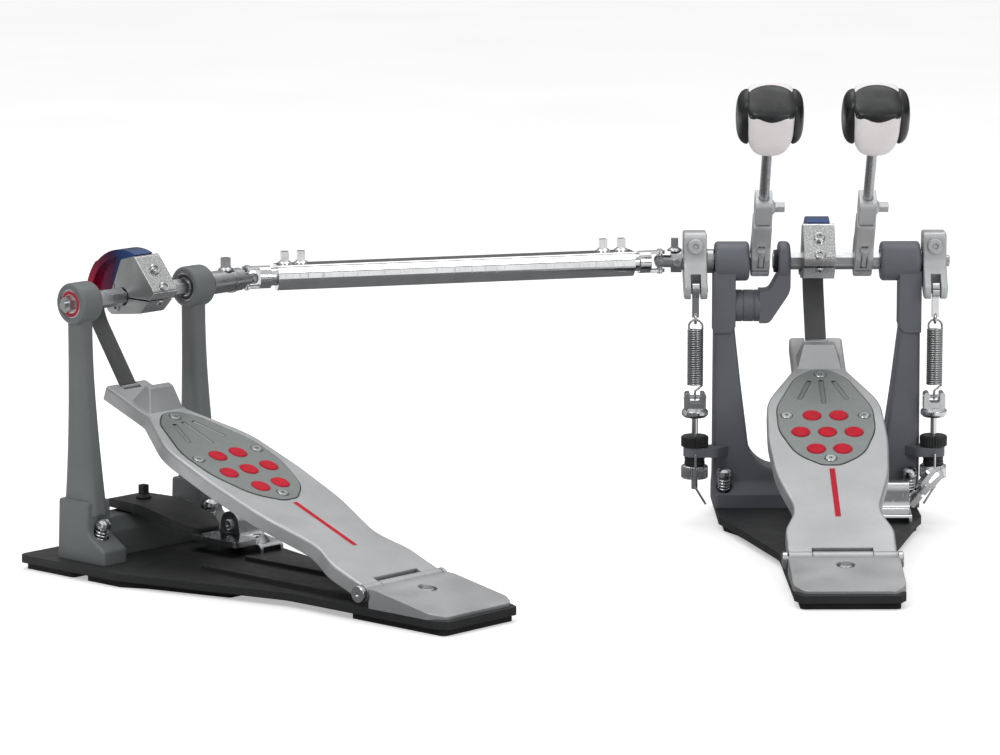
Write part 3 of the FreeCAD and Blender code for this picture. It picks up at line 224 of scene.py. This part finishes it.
def cast(name, colour, metallic=0.75, roughness=0.4, grain=0.09, rim=1.35):
    """Blasted cast aluminium: sandy grain, clouded tone and bright rims where hands and feet rub."""
    f = Finish(name)
    cloud = f.ramp(f.noise(22, 6), (0.25, shade(colour, 0.86)), (0.75, shade(colour, 1.1)))
    sand = f.mix(f.span(f.noise(2200, 2), 0.5, 0.7, 0, 0.4), cloud, shade(colour, 1.25))
    rub = f.calc("MULTIPLY", f.edge(1.1 * MM), f.span(f.noise(120, 4), 0.3, 0.6, 0.35, 1))
    rimmed = f.mix(rub, sand, shade(colour, rim))
    # Painted shade: sockets, slots and tight corners darkened to a fifth of the colour.
    f.set(Base_Color=f.mix(f.painted_recess_shade(2.5 * MM), rimmed, shade(colour, 0.2)), Metallic=metallic)
    worn = f.calc("SUBTRACT", f.span(f.noise(45, 6), 0.3, 0.7, roughness - 0.05, roughness + 0.12),
                  f.calc("MULTIPLY", rub, 0.14))
    f.set(Roughness=worn)
    f.bumps((f.noise(1500, 3), grain), (f.noise(160, 3), 0.12), normal=f.rounded(1.1 * MM))
    return f.done()


def plated(name, colour, roughness=0.12, ripple=0.015):
    """Bright plating: slight ripple, fine scuffs and dulled patches."""
    f = Finish(name)
    f.set(Base_Color=f.ramp(f.noise(40, 5), (0.3, shade(colour, 0.82)), (0.7, colour)), Metallic=1.0)
    scuff = f.span(f.noise(500, 6, (1, 1, 0.12)), 0.55, 0.8, 0, 0.22)
    patch = f.span(f.noise(70, 4), 0.35, 0.75, roughness * 0.7, roughness * 1.8)
    f.set(Roughness=f.calc("ADD", scuff, patch))
    f.bumps((f.noise(220, 2), ripple), normal=f.rounded(0.45 * MM))
    return f.done()


def brushed(name, colour, roughness=0.28, pose=None):
    """Drawn steel with fine lines along the shaft."""
    f = Finish(name, pose)
    lines = f.noise(2400, 3, (0.02, 1, 1))
    f.set(Base_Color=f.ramp(lines, (0.3, shade(colour, 0.75)), (0.7, shade(colour, 1.1))), Metallic=1.0)
    f.set(Roughness=f.span(f.noise(120, 5), 0.3, 0.7, roughness - 0.06, roughness + 0.12))
    f.bumps((lines, 0.03), normal=f.rounded(0.4 * MM))
    return f.done()


def rubber(name, colour, roughness=0.62):
    """Matt moulded rubber with a fine stipple and lighter edges."""
    f = Finish(name)
    tone = f.ramp(f.noise(55, 5), (0.3, shade(colour, 0.8)), (0.75, shade(colour, 1.4)))
    f.set(Base_Color=f.mix(f.edge(0.8 * MM), tone, shade(colour, 2.2)))
    f.set(Roughness=f.span(f.noise(200, 4), 0.3, 0.7, roughness - 0.07, roughness + 0.1))
    f.bumps((f.noise(1300, 2), 0.07), normal=f.rounded(0.8 * MM))
    return f.done()


def grip_sheet(name):
    """Grey satin plate with a black line around its rim and its grooves."""
    colour = display(146, 152, 150)
    f = Finish(name)
    fleck = f.ramp(f.noise(1800, 2), (0.35, shade(colour, 0.8)), (0.65, shade(colour, 1.15)))
    tone = f.mix(f.span(f.noise(30, 5), 0.35, 0.7, 0, 0.4), fleck, shade(colour, 0.8))
    line = f.edge(1.5 * MM, 0.1)
    f.set(Base_Color=f.mix(line, tone, display(28, 29, 30)), Metallic=0.55)
    f.set(Roughness=f.span(f.noise(90, 4), 0.3, 0.7, 0.36, 0.5))
    f.bumps((f.noise(1500, 2), 0.06), normal=f.rounded(0.4 * MM))
    return f.done()


def red_grip(name):
    """Soft red inlay with a pebbled skin."""
    colour = display(204, 14, 44)
    f = Finish(name)
    f.set(Base_Color=f.ramp(f.noise(130, 5), (0.3, shade(colour, 0.85)), (0.7, shade(colour, 1.1))))
    f.set(Roughness=f.span(f.noise(300, 3), 0.3, 0.7, 0.5, 0.66), Specular_IOR_Level=0.25)
    f.bumps((f.noise(1700, 2), 0.09), normal=f.rounded(0.5 * MM))
    return f.done()


def anodised_cam(name, pose):
    """Anodised metal that runs from blue at the front over plum to crimson at the back."""
    f = Finish(name, pose)
    along = f.span(f.split()["Y"], -0.013, 0.043)
    wander = f.calc("ADD", along, f.span(f.noise(40, 3), 0.3, 0.7, -0.02, 0.02))
    blue = (0.0, display(44, 92, 160)), (0.32, display(38, 62, 120))
    plum = (0.5, display(58, 22, 66)), (0.75, display(120, 16, 62))
    crimson = (1.0, display(214, 24, 60))
    fade = f.ramp(wander, *blue, *plum, crimson)
    worn = f.calc("MULTIPLY", f.edge(0.5 * MM), 0.35)
    f.set(Base_Color=f.mix(worn, fade, display(150, 110, 160)), Metallic=0.6)
    f.set(Roughness=f.span(f.noise(90, 5), 0.3, 0.7, 0.2, 0.34), Coat_Weight=0.3, Coat_Roughness=0.15)
    f.bumps((f.noise(1400, 2), 0.02), normal=f.rounded(0.5 * MM))
    return f.done()


def clamp_hub(name, pose):
    """Cast hub: satin cheeks, speckled bright plating on its front, a painted highlight along its edges and
    painted shade in its recesses.
    """
    f = Finish(name, pose)
    facing = f.node("ShaderNodeNewGeometry").outputs["Normal"]
    turned_normal = f.node("ShaderNodeVectorRotate", {"Vector": facing, "Angle": -pose.to_euler().z},
                           rotation_type="Z_AXIS").outputs["Vector"]
    cheek = f.span(f.calc("ABSOLUTE", f.split(turned_normal)["X"]), 0.6, 0.8)
    speckle = f.span(f.noise(900, 3), 0.46, 0.6)
    bright = f.mix(speckle, display(196, 198, 199), display(236, 236, 236))
    satin = f.ramp(f.noise(60, 5), (0.3, display(168, 170, 170)), (0.7, display(196, 197, 197)))
    tone = f.mix(cheek, bright, satin)
    # Painted highlight: every edge brightened to near white.
    rimmed = f.mix(f.edge(0.7 * MM), tone, display(236, 236, 236))
    # Painted shade: sockets, slots and tight corners darkened to near black.
    f.set(Base_Color=f.mix(f.painted_recess_shade(2.5 * MM), rimmed, display(34, 35, 36)), Metallic=0.9)
    duller = f.calc("MULTIPLY", cheek, 0.22)
    f.set(Roughness=f.calc("ADD", duller, f.span(f.noise(80, 4), 0.3, 0.7, 0.1, 0.2)))
    f.bumps((f.noise(900, 3), 0.008), normal=f.rounded(0.8 * MM))
    return f.done()


def ring_bearing(name, pose, shield_left=None):
    """Ball bearing seen end on: steel rings and a dark seal, or a red shield on faces left of shield_left."""
    f = Finish(name, pose)
    parts = f.split()
    rise = f.calc("SUBTRACT", parts["Z"], SHAFT_HEIGHT)
    squares = f.calc("MULTIPLY", parts["Y"], parts["Y"]), f.calc("MULTIPLY", rise, rise)
    radius = f.calc("SQRT", f.calc("ADD", *squares))
    shield = f.calc("MULTIPLY", f.span(radius, 7.1 * MM, 7.3 * MM), f.span(radius, 9.8 * MM, 9.6 * MM))
    steel = f.ramp(f.noise(160, 4), (0.3, display(176, 178, 180)), (0.7, display(222, 222, 222)))
    red = f.ramp(f.noise(240, 4), (0.3, display(168, 22, 44)), (0.7, display(206, 32, 54)))
    dark = f.ramp(f.noise(240, 4), (0.3, display(26, 27, 28)), (0.7, display(48, 49, 51)))
    seal = f.mix(f.span(parts["X"], shield_left, shield_left - 1 * MM), dark, red) if shield_left else dark
    f.set(Base_Color=f.mix(shield, steel, seal), Metallic=f.span(shield, 0, 1, 1, 0.1))
    f.set(Roughness=f.span(shield, 0, 1, 0.22, 0.5))
    groove = f.calc("SINE", f.calc("MULTIPLY", radius, 5200))
    f.bumps((groove, 0.05), (f.noise(900, 2), 0.03))
    return f.done()


def woven(name):
    """Graphite strap: plain weave across the strap, with a dull sheen."""
    colour = display(84, 86, 86)
    f = Finish(name)
    uv = f.split(f.node("ShaderNodeTexCoord").outputs["UV"])
    pitch = 2 * math.pi / 0.9
    warp = f.calc("SINE", f.calc("MULTIPLY", uv["X"], pitch))
    weft = f.calc("SINE", f.calc("MULTIPLY", uv["Y"], pitch))
    cross = f.calc("MULTIPLY", warp, weft)
    thread = f.calc("ADD", cross, f.span(f.noise(2500, 2), 0, 1, -0.4, 0.4))
    tone = f.ramp(f.span(thread, -1, 1), (0.2, shade(colour, 0.72)), (0.8, shade(colour, 1.2)))
    f.set(Base_Color=f.mix(f.span(f.noise(60, 4), 0.4, 0.7, 0, 0.35), tone, shade(colour, 1.3)))
    f.set(Roughness=f.span(f.noise(150, 3), 0.3, 0.7, 0.6, 0.78), Sheen_Weight=0.25)
    f.bumps((thread, 0.14))
    return f.done()


def beater_core(name):
    """Off-white moulded plastic with a warm bloom."""
    f = Finish(name)
    f.set(Base_Color=f.ramp(f.noise(38, 5), (0.3, display(244, 236, 237)), (0.7, display(252, 249, 248))))
    f.set(Roughness=f.span(f.noise(180, 4), 0.3, 0.7, 0.38, 0.52))
    f.set(Subsurface_Weight=0.15, Subsurface_Radius=(0.01, 0.006, 0.005), Subsurface_Scale=0.3)
    f.bumps((f.noise(900, 3), 0.03))
    return f.done()


def beater_skin(name):
    """Black glossy rubber with faint moulding waves and rubbed high spots."""
    f = Finish(name)
    f.set(Base_Color=f.ramp(f.noise(70, 5), (0.3, display(22, 23, 24)), (0.7, display(40, 42, 43))))
    f.set(Roughness=f.span(f.noise(110, 5), 0.3, 0.7, 0.26, 0.42))
    f.bumps((f.noise(1200, 2), 0.04), (f.noise(120, 2), 0.15))
    return f.done()


def stage_paper(name):
    """Plain pale floor. In reflections it is dark, with a bright panel on each side, as in a light tent."""
    f = Finish(name)
    rays = f.node("ShaderNodeLightPath").outputs
    paper = f.ramp(f.noise(3, 2), (0.3, display(240, 240, 240)), (0.7, display(246, 246, 246)))
    f.set(Base_Color=f.mix(rays["Is Glossy Ray"], paper, display(70, 71, 73)))
    sideways = f.calc("ABSOLUTE", f.calc("ADD", f.split()["X"], 0.25))
    panel = f.calc("MULTIPLY", f.span(sideways, 0.3, 0.45, 0.1, 0.85), f.span(sideways, 1.5, 1.8, 1, 0.1))
    seen = f.calc("MULTIPLY", rays["Is Camera Ray"], 0.42)
    glow = f.calc("ADD", seen, f.calc("MULTIPLY", rays["Is Glossy Ray"], panel))
    f.set(Roughness=0.9, Specular_IOR_Level=0.1, Emission_Color=(1, 1, 1, 1), Emission_Strength=glow)
    return f.done()


def slot_finishes():
    """The finish of each of the record's material slots, on the main pedal."""
    return {
        "base_black": painted("base_black", display(40, 41, 42), 0.5, 0.1, 2.2),
        "rubber": rubber("rubber", display(30, 30, 30)),
        "frame_grey": painted("frame_grey", display(104, 107, 114)),
        "cast_silver": cast("cast_silver", display(190, 192, 194)),
        "chrome": plated("chrome", display(232, 233, 235)),
        "bearing": ring_bearing("bearing", MAIN),
        "knob_black": rubber("knob_black", display(34, 35, 36), 0.4),
        "grip_grey": grip_sheet("grip_grey"),
        "grip_red": red_grip("grip_red"),
        "steel": brushed("steel", display(196, 198, 200), pose=MAIN),
        "belt": woven("belt"),
        "cam_anodised": anodised_cam("cam_anodised", MAIN),
        "cast_grey": cast("cast_grey", display(202, 204, 206), 0.45, 0.36, 0.05, 1.25),
        "beater_pad": beater_core("beater_core"),
        "spring_steel": plated("spring_steel", display(190, 191, 192), 0.2),
        "tube_polished": plated("tube_polished", display(246, 247, 248), 0.1, 0.006),
    }


def paint_nodes(finishes):
    """Gives every CAD node its finish, with the second pedal's own where the shade or place differs."""
    own = {
        "cam_hub": clamp_hub("cam_hub", MAIN),
        "slave_cam_hub": clamp_hub("slave_cam_hub", SECOND),
        "slave_cam": anodised_cam("slave_cam", SECOND),
        "slave_shaft_bearings": ring_bearing("slave_bearing", SECOND, -60 * MM),
        "slave_hex_shaft": brushed("slave_steel", display(196, 198, 200), pose=SECOND),
        "slave_pedestal": painted("slave_frame_grey", display(112, 116, 117)),
    }
    slots = {part["node"]: part["material_slot"] for part in frame["record"]["subparts"]}
    for name, thing in frame["nodes"].items():
        slot = slots[name]
        thing.data.materials.clear()
        thing.data.materials.append(own.get(name, finishes[slot]))


# ---------------------------------------------------------------- mesh helpers

def signed_power(value, power):
    """The value's size raised to a power, with its sign kept."""
    return math.copysign(abs(value) ** power, value)


def piece(name, rings, finish, closed_ends=True, closed_run=False):
    """A skin drawn through rings of points. Texture places run around and along it, in millimetres."""
    mesh = bmesh.new()
    uv = mesh.loops.layers.uv.new("Run")
    rows = [[mesh.verts.new(p) for p in ring] for ring in rings]
    count = len(rows[0])
    around = [0.0]
    for i in range(count):
        around.append(around[-1] + (Vector(rings[0][(i + 1) % count]) - Vector(rings[0][i])).length / MM)
    along = 0.0
    for r in range(len(rows) - (0 if closed_run else 1)):
        after = (r + 1) % len(rows)
        step = (Vector(rings[after][0]) - Vector(rings[r][0])).length / MM
        for i in range(count):
            j = (i + 1) % count
            face = mesh.faces.new((rows[r][i], rows[r][j], rows[after][j], rows[after][i]))
            left, right, start, end = around[i], around[i + 1], along, along + step
            places = (left, start), (right, start), (right, end), (left, end)
            for loop, place in zip(face.loops, places):
                loop[uv].uv = place
        along += step
    if closed_ends and not closed_run:
        mesh.faces.new(rows[0][::-1])
        mesh.faces.new(rows[-1])
    bmesh.ops.recalc_face_normals(mesh, faces=mesh.faces)
    data = bpy.data.meshes.new(name)
    mesh.to_mesh(data)
    mesh.free()
    data.materials.append(finish)
    data.shade_smooth()
    data.set_sharp_from_angle(angle=math.radians(40))
    thing = bpy.data.objects.new(name, data)
    bpy.context.scene.collection.objects.link(thing)
    return thing


def wire_rings(path, radius, sides=10):
    """Rings of a round wire along a path, turned as little as they can be from one to the next."""
    rings = []
    side = None
    for i, here in enumerate(path):
        run = (path[min(i + 1, len(path) - 1)] - path[max(i - 1, 0)]).normalized()
        if side is None:
            side = run.orthogonal().normalized()
        side = (side - run * side.dot(run)).normalized()
        other = run.cross(side)
        angles = [2 * math.pi * k / sides for k in range(sides)]
        rings.append([here + (side * math.cos(a) + other * math.sin(a)) * radius for a in angles])
    return rings


def turned_rings(profile, centre, segments, flute=0.0, teeth=0):
    """Rings of a round part about an upright axis. A True in the profile marks a fluted row."""
    rings = []
    for radius, height, fluted in profile:
        ring = []
        for k in range(segments):
            angle = 2 * math.pi * k / segments
            groove = flute * (1 - abs(math.sin(angle * teeth / 2)) ** 0.6) if fluted else 0.0
            here = radius - groove
            ring.append(centre + Vector((here * math.cos(angle), here * math.sin(angle), height)))
        rings.append(ring)
    return rings


# ---------------------------------------------------------------- springs

def pin_hook(centre, foot, join):
    """Hook about the clevis pin below the coil, and its lead up to the coil's first turn."""
    radius = 2.6 * MM
    height = foot - 8 * MM
    path = []
    for k in range(22):
        angle = math.radians(60 - 240 * k / 21)
        spot = Vector((0, math.cos(angle), math.sin(angle))) * radius
        path.append(Vector((centre.x, centre.y, height)) + spot)
    path.append(Vector((centre.x, centre.y - 0.8 * radius, height + 4.5 * MM)))
    path.append((path[-1] + join) / 2 + Vector((0, -1.5 * MM, 0)))
    return path


def coil_turns(start, mean, rise, turns):
    """The coil itself, of a mean radius, going up from a point on its axis."""
    steps = 20 * turns
    path = []
    for k in range(steps + 1):
        angle = 2 * math.pi * turns * k / steps
        path.append(start + Vector((mean * math.cos(angle), mean * math.sin(angle), rise * k / steps)))
    return path


def ring_hook(centre, top, mean):
    """Hook above the coil, through the link's ring; it draws in as it leaves the coil."""
    height = top + 1.4 * MM
    path = []
    for k in range(26):
        angle = math.radians(-12 + 230 * k / 25)
        radius = mean - 0.5 * MM * min(1, k / 8)
        spot = Vector((math.cos(angle), 0, math.sin(angle))) * radius
        path.append(Vector((centre.x, centre.y, height)) + spot)
    return path


def coil_spring(side, finish):
    """Tension spring with a hook at each end: one about the clevis pin, one about the link's ring."""
    node = f"spring_{side}"
    low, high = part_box(node)
    centre = middle(node)
    wire = 0.82 * MM
    turns = 25
    mean = (high.x - low.x) / 2 - wire
    rise = high.z - low.z - 2 * wire
    start = Vector((centre.x, centre.y, low.z + wire))
    path = pin_hook(centre, low.z, start + Vector((mean, 0, 0)))
    path += coil_turns(start, mean, rise, turns)
    path += ring_hook(centre, high.z, mean)
    spring = piece(f"coil_{side}", wire_rings(path, wire), finish)
    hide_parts(node)
    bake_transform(spring)


# ---------------------------------------------------------------- belts

def strap_section(across, out, half_wide, half_thick):
    """Corners of a flat strap's cross-section with rolled edges."""
    section = []
    for k in range(16):
        angle = 2 * math.pi * (k + 0.5) / 16
        wide = signed_power(math.cos(angle), 0.35) * half_wide
        thick = signed_power(math.sin(angle), 0.6) * half_thick
        section.append(across * wide + out * thick)
    return section


def arc_rings(centre, back, across, first, last, radius, half_wide, half_thick):
    """Rings of the strap where it lies on an arc about the cam's centre."""
    rings = []
    for k in range(21):
        angle = first + (last - first) * k / 20
        ray = back * math.cos(angle) + Vector((0, 0, math.sin(angle)))
        section = strap_section(across, ray, half_wide, half_thick)
        rings.append([centre + ray * radius + c for c in section])
    return rings


def belt_pieces(prefix, pose, bodies, finish):
    """The strap from toe to cam, the bend that lies on the cam, and the wrap that turns with the cam."""
    toe, top, pedal, shaft = bodies
    across = pose.to_3x3() @ Vector((1, 0, 0))
    back = pose.to_3x3() @ Vector((0, 1, 0))
    foot = Vector(joint(f"{prefix}belt_flex")["pos_m"])
    run = Vector(joint(f"{prefix}belt_pay_out")["axis"]).normalized()
    out = across.cross(run)
    corners = [v.co - foot for v in frame["nodes"][f"{prefix}belt"].data.vertices]
    reach = [c.dot(run) for c in corners]
    half_wide = max(abs(c.dot(across)) for c in corners)
    half_thick = max(abs(c.dot(out)) for c in corners)
    section = strap_section(across, out, half_wide, half_thick)
    rows = 24
    levels = [min(reach) + (max(reach) - min(reach)) * k / rows for k in range(rows + 1)]
    rings = [[foot + run * level + c for c in section] for level in levels]
    strap = piece(f"{prefix}belt_strap", rings, finish)
    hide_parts(f"{prefix}belt")
    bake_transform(strap)
    # The tangent point gives the cam's centre, one radius in from it.
    touch = foot + run * max(reach)
    radius = CAM_RADIUS + half_thick + 0.3 * MM
    centre = touch + out * radius
    if centre.z < touch.z:
        centre = touch - out * radius
    start = math.atan2((touch - centre).z, (touch - centre).dot(back))
    for label, body, first, last, lift in (("belt_bend", pedal, start, CAM_REAR, 0),
                                           ("belt_wrap", shaft, CAM_REAR, WRAP_END, WRAP_LIFT)):
        rings = arc_rings(centre, back, across, first, last, radius + lift, half_wide, half_thick)
        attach(piece(f"{prefix}{label}", rings, finish), body)


# ---------------------------------------------------------------- nuts and knobs

ROD_BORE = 2.55 * MM
FLUTE_SEGMENTS = 240


def fluted_profile(radius, low, high, bevel):
    """A round part's profile: bevelled ends and a fluted band between them."""
    rows = 4
    end, shoulder = radius - bevel * 1.2, radius - 0.2 * MM
    band = [(radius, low + bevel + (high - low - 2 * bevel) * k / rows, True) for k in range(rows + 1)]
    return [(end, low, False), (shoulder, low + bevel * 0.8, False), *band,
            (shoulder, high - bevel * 0.8, False), (end, high, False)]


def hollow(profile):
    """The profile closed down its bore, so that the rod runs through."""
    return [(ROD_BORE, profile[0][1], False), *profile, (ROD_BORE, profile[-1][1], False)]


def spring_nut(side, axis, radius, finish):
    """Fluted nut under the ear, in place of the CAD's plain one."""
    node = f"tension_nut_{side}"
    low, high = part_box(node)
    profile = hollow(fluted_profile(radius, low.z, high.z, 1.0 * MM))
    rings = turned_rings(profile, axis, FLUTE_SEGMENTS, 0.75 * MM, 36)
    nut = piece(f"fluted_nut_{side}", rings, finish, closed_run=True)
    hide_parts(node)
    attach(nut, node)


def lock_knob(side, axis, radius, top, finish):
    """Fluted black knob on top of the ear."""
    height = 9.15 * MM
    profile = hollow(fluted_profile(radius, top - height, top, 1.1 * MM))
    rings = turned_rings(profile, axis, FLUTE_SEGMENTS, 1.0 * MM, 28)
    return piece(f"lock_knob_{side}", rings, finish, closed_run=True)


def ear_bush(side, axis, foot, finish):
    """Black bush between the nut and the ear, with a waist and bevelled ends."""
    height, bevel = 6.95 * MM, 0.5 * MM
    body, waist, end = 8.1 * MM, 7.5 * MM, 7.6 * MM
    outline = [(end, 0), (body, bevel), (body, 3 * MM), (waist, 3.3 * MM), (waist, 3.9 * MM),
               (body, 4.2 * MM), (body, height - bevel), (end, height)]
    profile = hollow([(radius, foot + level, False) for radius, level in outline])
    return piece(f"ear_bush_{side}", turned_rings(profile, axis, 48), finish, closed_run=True)


def spring_tuning(side, chrome, black):
    """What is threaded on a spring's rod: the nut, the knob and the bush."""
    low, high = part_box(f"tension_nut_{side}")
    place = middle(f"tension_nut_{side}")
    axis = Vector((place.x, place.y, 0))
    radius = (high.x - low.x) / 2
    spring_nut(side, axis, radius, chrome)
    bottom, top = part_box("locking_collars")
    knob = lock_knob(side, axis, radius + 0.2 * MM, top.z, black)
    bush = ear_bush(side, axis, bottom.z, black)
    for part in (knob, bush):
        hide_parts("locking_collars")
        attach(part, "main_frame")


# ---------------------------------------------------------------- beater heads

# The head's white core in millimetres, in the head's own frame: half its width and depth, and its levels.
HEAD_WIDE = 18.0
HEAD_DEEP = 19.5
HEAD_TOP = 24.0
HEAD_SHOULDER = 2.0
HEAD_FOOT = -33.0
# How far its middle lies towards the player, and how square its plan is (2 is round).
HEAD_FORWARD = 3.5
HEAD_POWER = 5


def beater_pose(side):
    """Head frame: Z up the rod, X across, Y away from the player, origin at the head's middle."""
    up = Vector(joint(f"beater_{side}_height")["axis"]).normalized()
    across = Vector((1, 0, 0))
    pose = Matrix((across, up.cross(across), up)).transposed().to_4x4()
    pose.translation = middle(f"beater_head_{side}")
    return pose


def head_core(pose):
    """Rounded square block with a flat top, running down into a bowl at the rod."""
    neck = 5.4
    bowl_rows, bowl_end = 14, 84
    rows = []
    bevel = (3.4, HEAD_TOP), (1.1, HEAD_TOP - 0.5), (0.3, HEAD_TOP - 1.6)
    walls = (0, HEAD_TOP - 3.2), (0, 14), (0, HEAD_SHOULDER)
    for inset, level in (*bevel, *walls):
        rows.append((HEAD_WIDE - inset, HEAD_DEEP - inset, level, HEAD_POWER, HEAD_FORWARD))
    for k in range(1, bowl_rows + 1):
        turn = math.radians(bowl_end * k / bowl_rows)
        drop = math.sin(turn) / math.sin(math.radians(bowl_end))
        level = HEAD_SHOULDER - (HEAD_SHOULDER - HEAD_FOOT) * drop
        size = math.cos(turn) ** 0.85
        power = HEAD_POWER - 3 * k / bowl_rows
        wide, deep = max(neck, HEAD_WIDE * size), max(neck, HEAD_DEEP * size)
        rows.append((wide, deep, level, power, HEAD_FORWARD * size))
    rings = []
    for wide, deep, level, power, shift in rows:
        ring = []
        for k in range(56):
            angle = 2 * math.pi * k / 56
            x = signed_power(math.cos(angle), 2 / power) * wide
            y = signed_power(math.sin(angle), 2 / power) * deep - shift
            ring.append(pose @ (Vector((x, y, level)) * MM))
        rings.append(ring)
    return rings


def pillow(pose, outline, place, thick):
    """A cushioned pad: outline(angle) gives its plan, place(u, v, lift) sets a point on the head."""
    count = 64
    rings_out = 12
    floor = -1.0
    edge = [outline(2 * math.pi * k / count) for k in range(count)]
    levels = []
    for k in range(1, rings_out + 1):
        share = math.sin(math.pi / 2 * k / rings_out)
        levels.append((share, thick * (1 - share ** 3.2) ** 0.5))
    levels += [(0.97, floor), (0.5, floor)]
    rings = []
    for share, lift in levels:
        rings.append([pose @ (place(u * share, v * share, lift) * MM) for u, v in edge])
    return rings


def cheek_outline(angle):
    """Plan of a side pad: taller than it is deep, full below and narrower above."""
    u = signed_power(math.cos(angle), 0.75)
    v = signed_power(math.sin(angle), 0.75)
    return u * (17.5 - 1.5 * v), v * 21.5


def crown_outline(angle):
    """Plan of the top pad: arched behind, with a drooping middle lobe in front."""
    half_wide = 18.3
    across, along = math.cos(angle), math.sin(angle)
    power = 3.6 if along >= 0 else 7.0
    size = (abs(across) ** power + abs(along) ** power) ** (-1 / power)
    side = across * size
    if along >= 0:
        reach = 12 - 5 * side ** 2
    else:
        lobe = 3.2 * math.exp(-(side / 0.38) ** 2)
        notch = 1.2 * math.exp(-((abs(side) - 0.62) / 0.2) ** 2)
        reach = 24 + lobe - notch
    return side * half_wide, along * size * reach


def crown_place(u, v, lift):
    """Lies over the flat top, rolls down over the front edge and follows the core's rounded corners."""
    level = HEAD_TOP - 0.1
    roll = 3.0
    sunk = 0.5
    sag = 1.2 * (u / HEAD_WIDE) ** 2
    share = min(abs(u) / HEAD_WIDE, 0.92)
    front = HEAD_FORWARD + HEAD_DEEP * (1 - share ** HEAD_POWER) ** (1 / HEAD_POWER)
    edge = roll + sunk - front
    if v > edge:
        return Vector((u, v, level + lift - sag))
    turn = min((edge - v) / roll, math.pi / 2)
    rest = max(0.0, (edge - v) - roll * math.pi / 2)
    out = roll + lift
    return Vector((u, edge - out * math.sin(turn), level - roll + out * math.cos(turn) - rest - sag))


def beater_head(side, core_finish, skin_finish):
    """White core with a black crown over its top and a bulging black cheek on each side."""
    pose = beater_pose(side)
    core = piece(f"beater_core_{side}", head_core(pose), core_finish)
    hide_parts(f"beater_head_{side}")
    parts = [core]
    crown = pillow(pose, crown_outline, crown_place, 2.6)
    parts.append(piece(f"beater_crown_{side}", crown, skin_finish))
    for hand, sign in (("l", -1), ("r", 1)):
        def cheek_place(u, v, lift):
            return Vector((sign * (17.6 + lift), u, 3.2 + v))
        cheek = pillow(pose, cheek_outline, cheek_place, 8.4)
        parts.append(piece(f"beater_cheek_{side}_{hand}", cheek, skin_finish))
    for part in parts:
        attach(part, f"beater_{side}")


# ---------------------------------------------------------------- stage, light and camera

def stage():
    mesh = bpy.data.meshes.new("floor")
    size = 12.0
    corners = [(-size, -size, 0), (size, -size, 0), (size, size, 0), (-size, size, 0)]
    mesh.from_pydata(corners, [], [(0, 1, 2, 3)])
    mesh.materials.append(stage_paper("floor_paper"))
    floor = bpy.data.objects.new("floor", mesh)
    floor.location.z = CAD_BOX[0][2] - 0.2 * MM
    bpy.context.scene.collection.objects.link(floor)


def studio_world():
    """White for the camera, and a soft grey room for reflections."""
    world = bpy.data.worlds.new("studio")
    bpy.context.scene.world = world
    world.use_nodes = True
    tree = world.node_tree
    room = tree.nodes["Background"]
    seen = tree.nodes.new("ShaderNodeBackground")
    seen.inputs["Color"].default_value = (1, 1, 1, 1)
    spot = tree.nodes.new("ShaderNodeTexCoord")
    parts = tree.nodes.new("ShaderNodeSeparateXYZ")
    tree.links.new(spot.outputs["Generated"], parts.inputs["Vector"])
    fade = tree.nodes.new("ShaderNodeValToRGB")
    horizon, overhead = fade.color_ramp.elements
    horizon.color = (0.05, 0.05, 0.055, 1)
    overhead.position = 0.8
    overhead.color = (1, 1, 1, 1)
    tree.links.new(parts.outputs["Z"], fade.inputs["Fac"])
    tree.links.new(fade.outputs["Color"], room.inputs["Color"])
    room.inputs["Strength"].default_value = 0.7
    rays = tree.nodes.new("ShaderNodeLightPath")
    choose = tree.nodes.new("ShaderNodeMixShader")
    tree.links.new(rays.outputs["Is Camera Ray"], choose.inputs[0])
    tree.links.new(room.outputs[0], choose.inputs[1])
    tree.links.new(seen.outputs[0], choose.inputs[2])
    tree.links.new(choose.outputs[0], tree.nodes["World Output"].inputs["Surface"])


def soft_light(name, spot, target, wide, tall, power):
    light = bpy.data.lights.new(name, "AREA")
    light.shape = "RECTANGLE"
    light.size = wide
    light.size_y = tall
    light.energy = power
    thing = bpy.data.objects.new(name, light)
    thing.location = spot
    thing.rotation_euler = (Vector(target) - Vector(spot)).to_track_quat("-Z", "Y").to_euler()
    bpy.context.scene.collection.objects.link(thing)


def photo_camera():
    camera = bpy.data.cameras.new("camera")
    camera.sensor_width = 36
    camera.lens = 180.05
    thing = bpy.data.objects.new("camera", camera)
    thing.location = (-0.30506, -3.92793, 0.76862)
    thing.rotation_euler = (math.radians(90 - 9.4797), 0, math.radians(-0.7797))
    bpy.context.scene.collection.objects.link(thing)
    bpy.context.scene.camera = thing


# ---------------------------------------------------------------- the whole picture

finishes = slot_finishes()
paint_nodes(finishes)
black_skin = beater_skin("beater_skin")
for hand in ("left", "right"):
    coil_spring(hand, finishes["spring_steel"])
    spring_tuning(hand, finishes["chrome"], finishes["knob_black"])
    beater_head(hand, finishes["beater_pad"], black_skin)
main_bodies = ("belt_foot", "belt_run", "main_frame", "main_shaft")
second_bodies = ("slave_belt_foot", "slave_belt_run", "slave_frame", "slave_shaft")
belt_pieces("", MAIN, main_bodies, finishes["belt"])
belt_pieces("slave_", SECOND, second_bodies, finishes["belt"])
stage()
studio_world()
soft_light("key", (-1.8, -2.4, 2.6), (-0.3, 0, 0.15), 1.6, 1.6, 27)
soft_light("fill", (1.6, -2.6, 1.3), (-0.2, 0, 0.15), 1.4, 1.4, 17)
soft_light("top", (-0.3, 0.6, 2.4), (-0.3, 0, 0.1), 2.4, 1.2, 15)
photo_camera()
bpy.context.scene.view_settings.view_transform = "Standard"
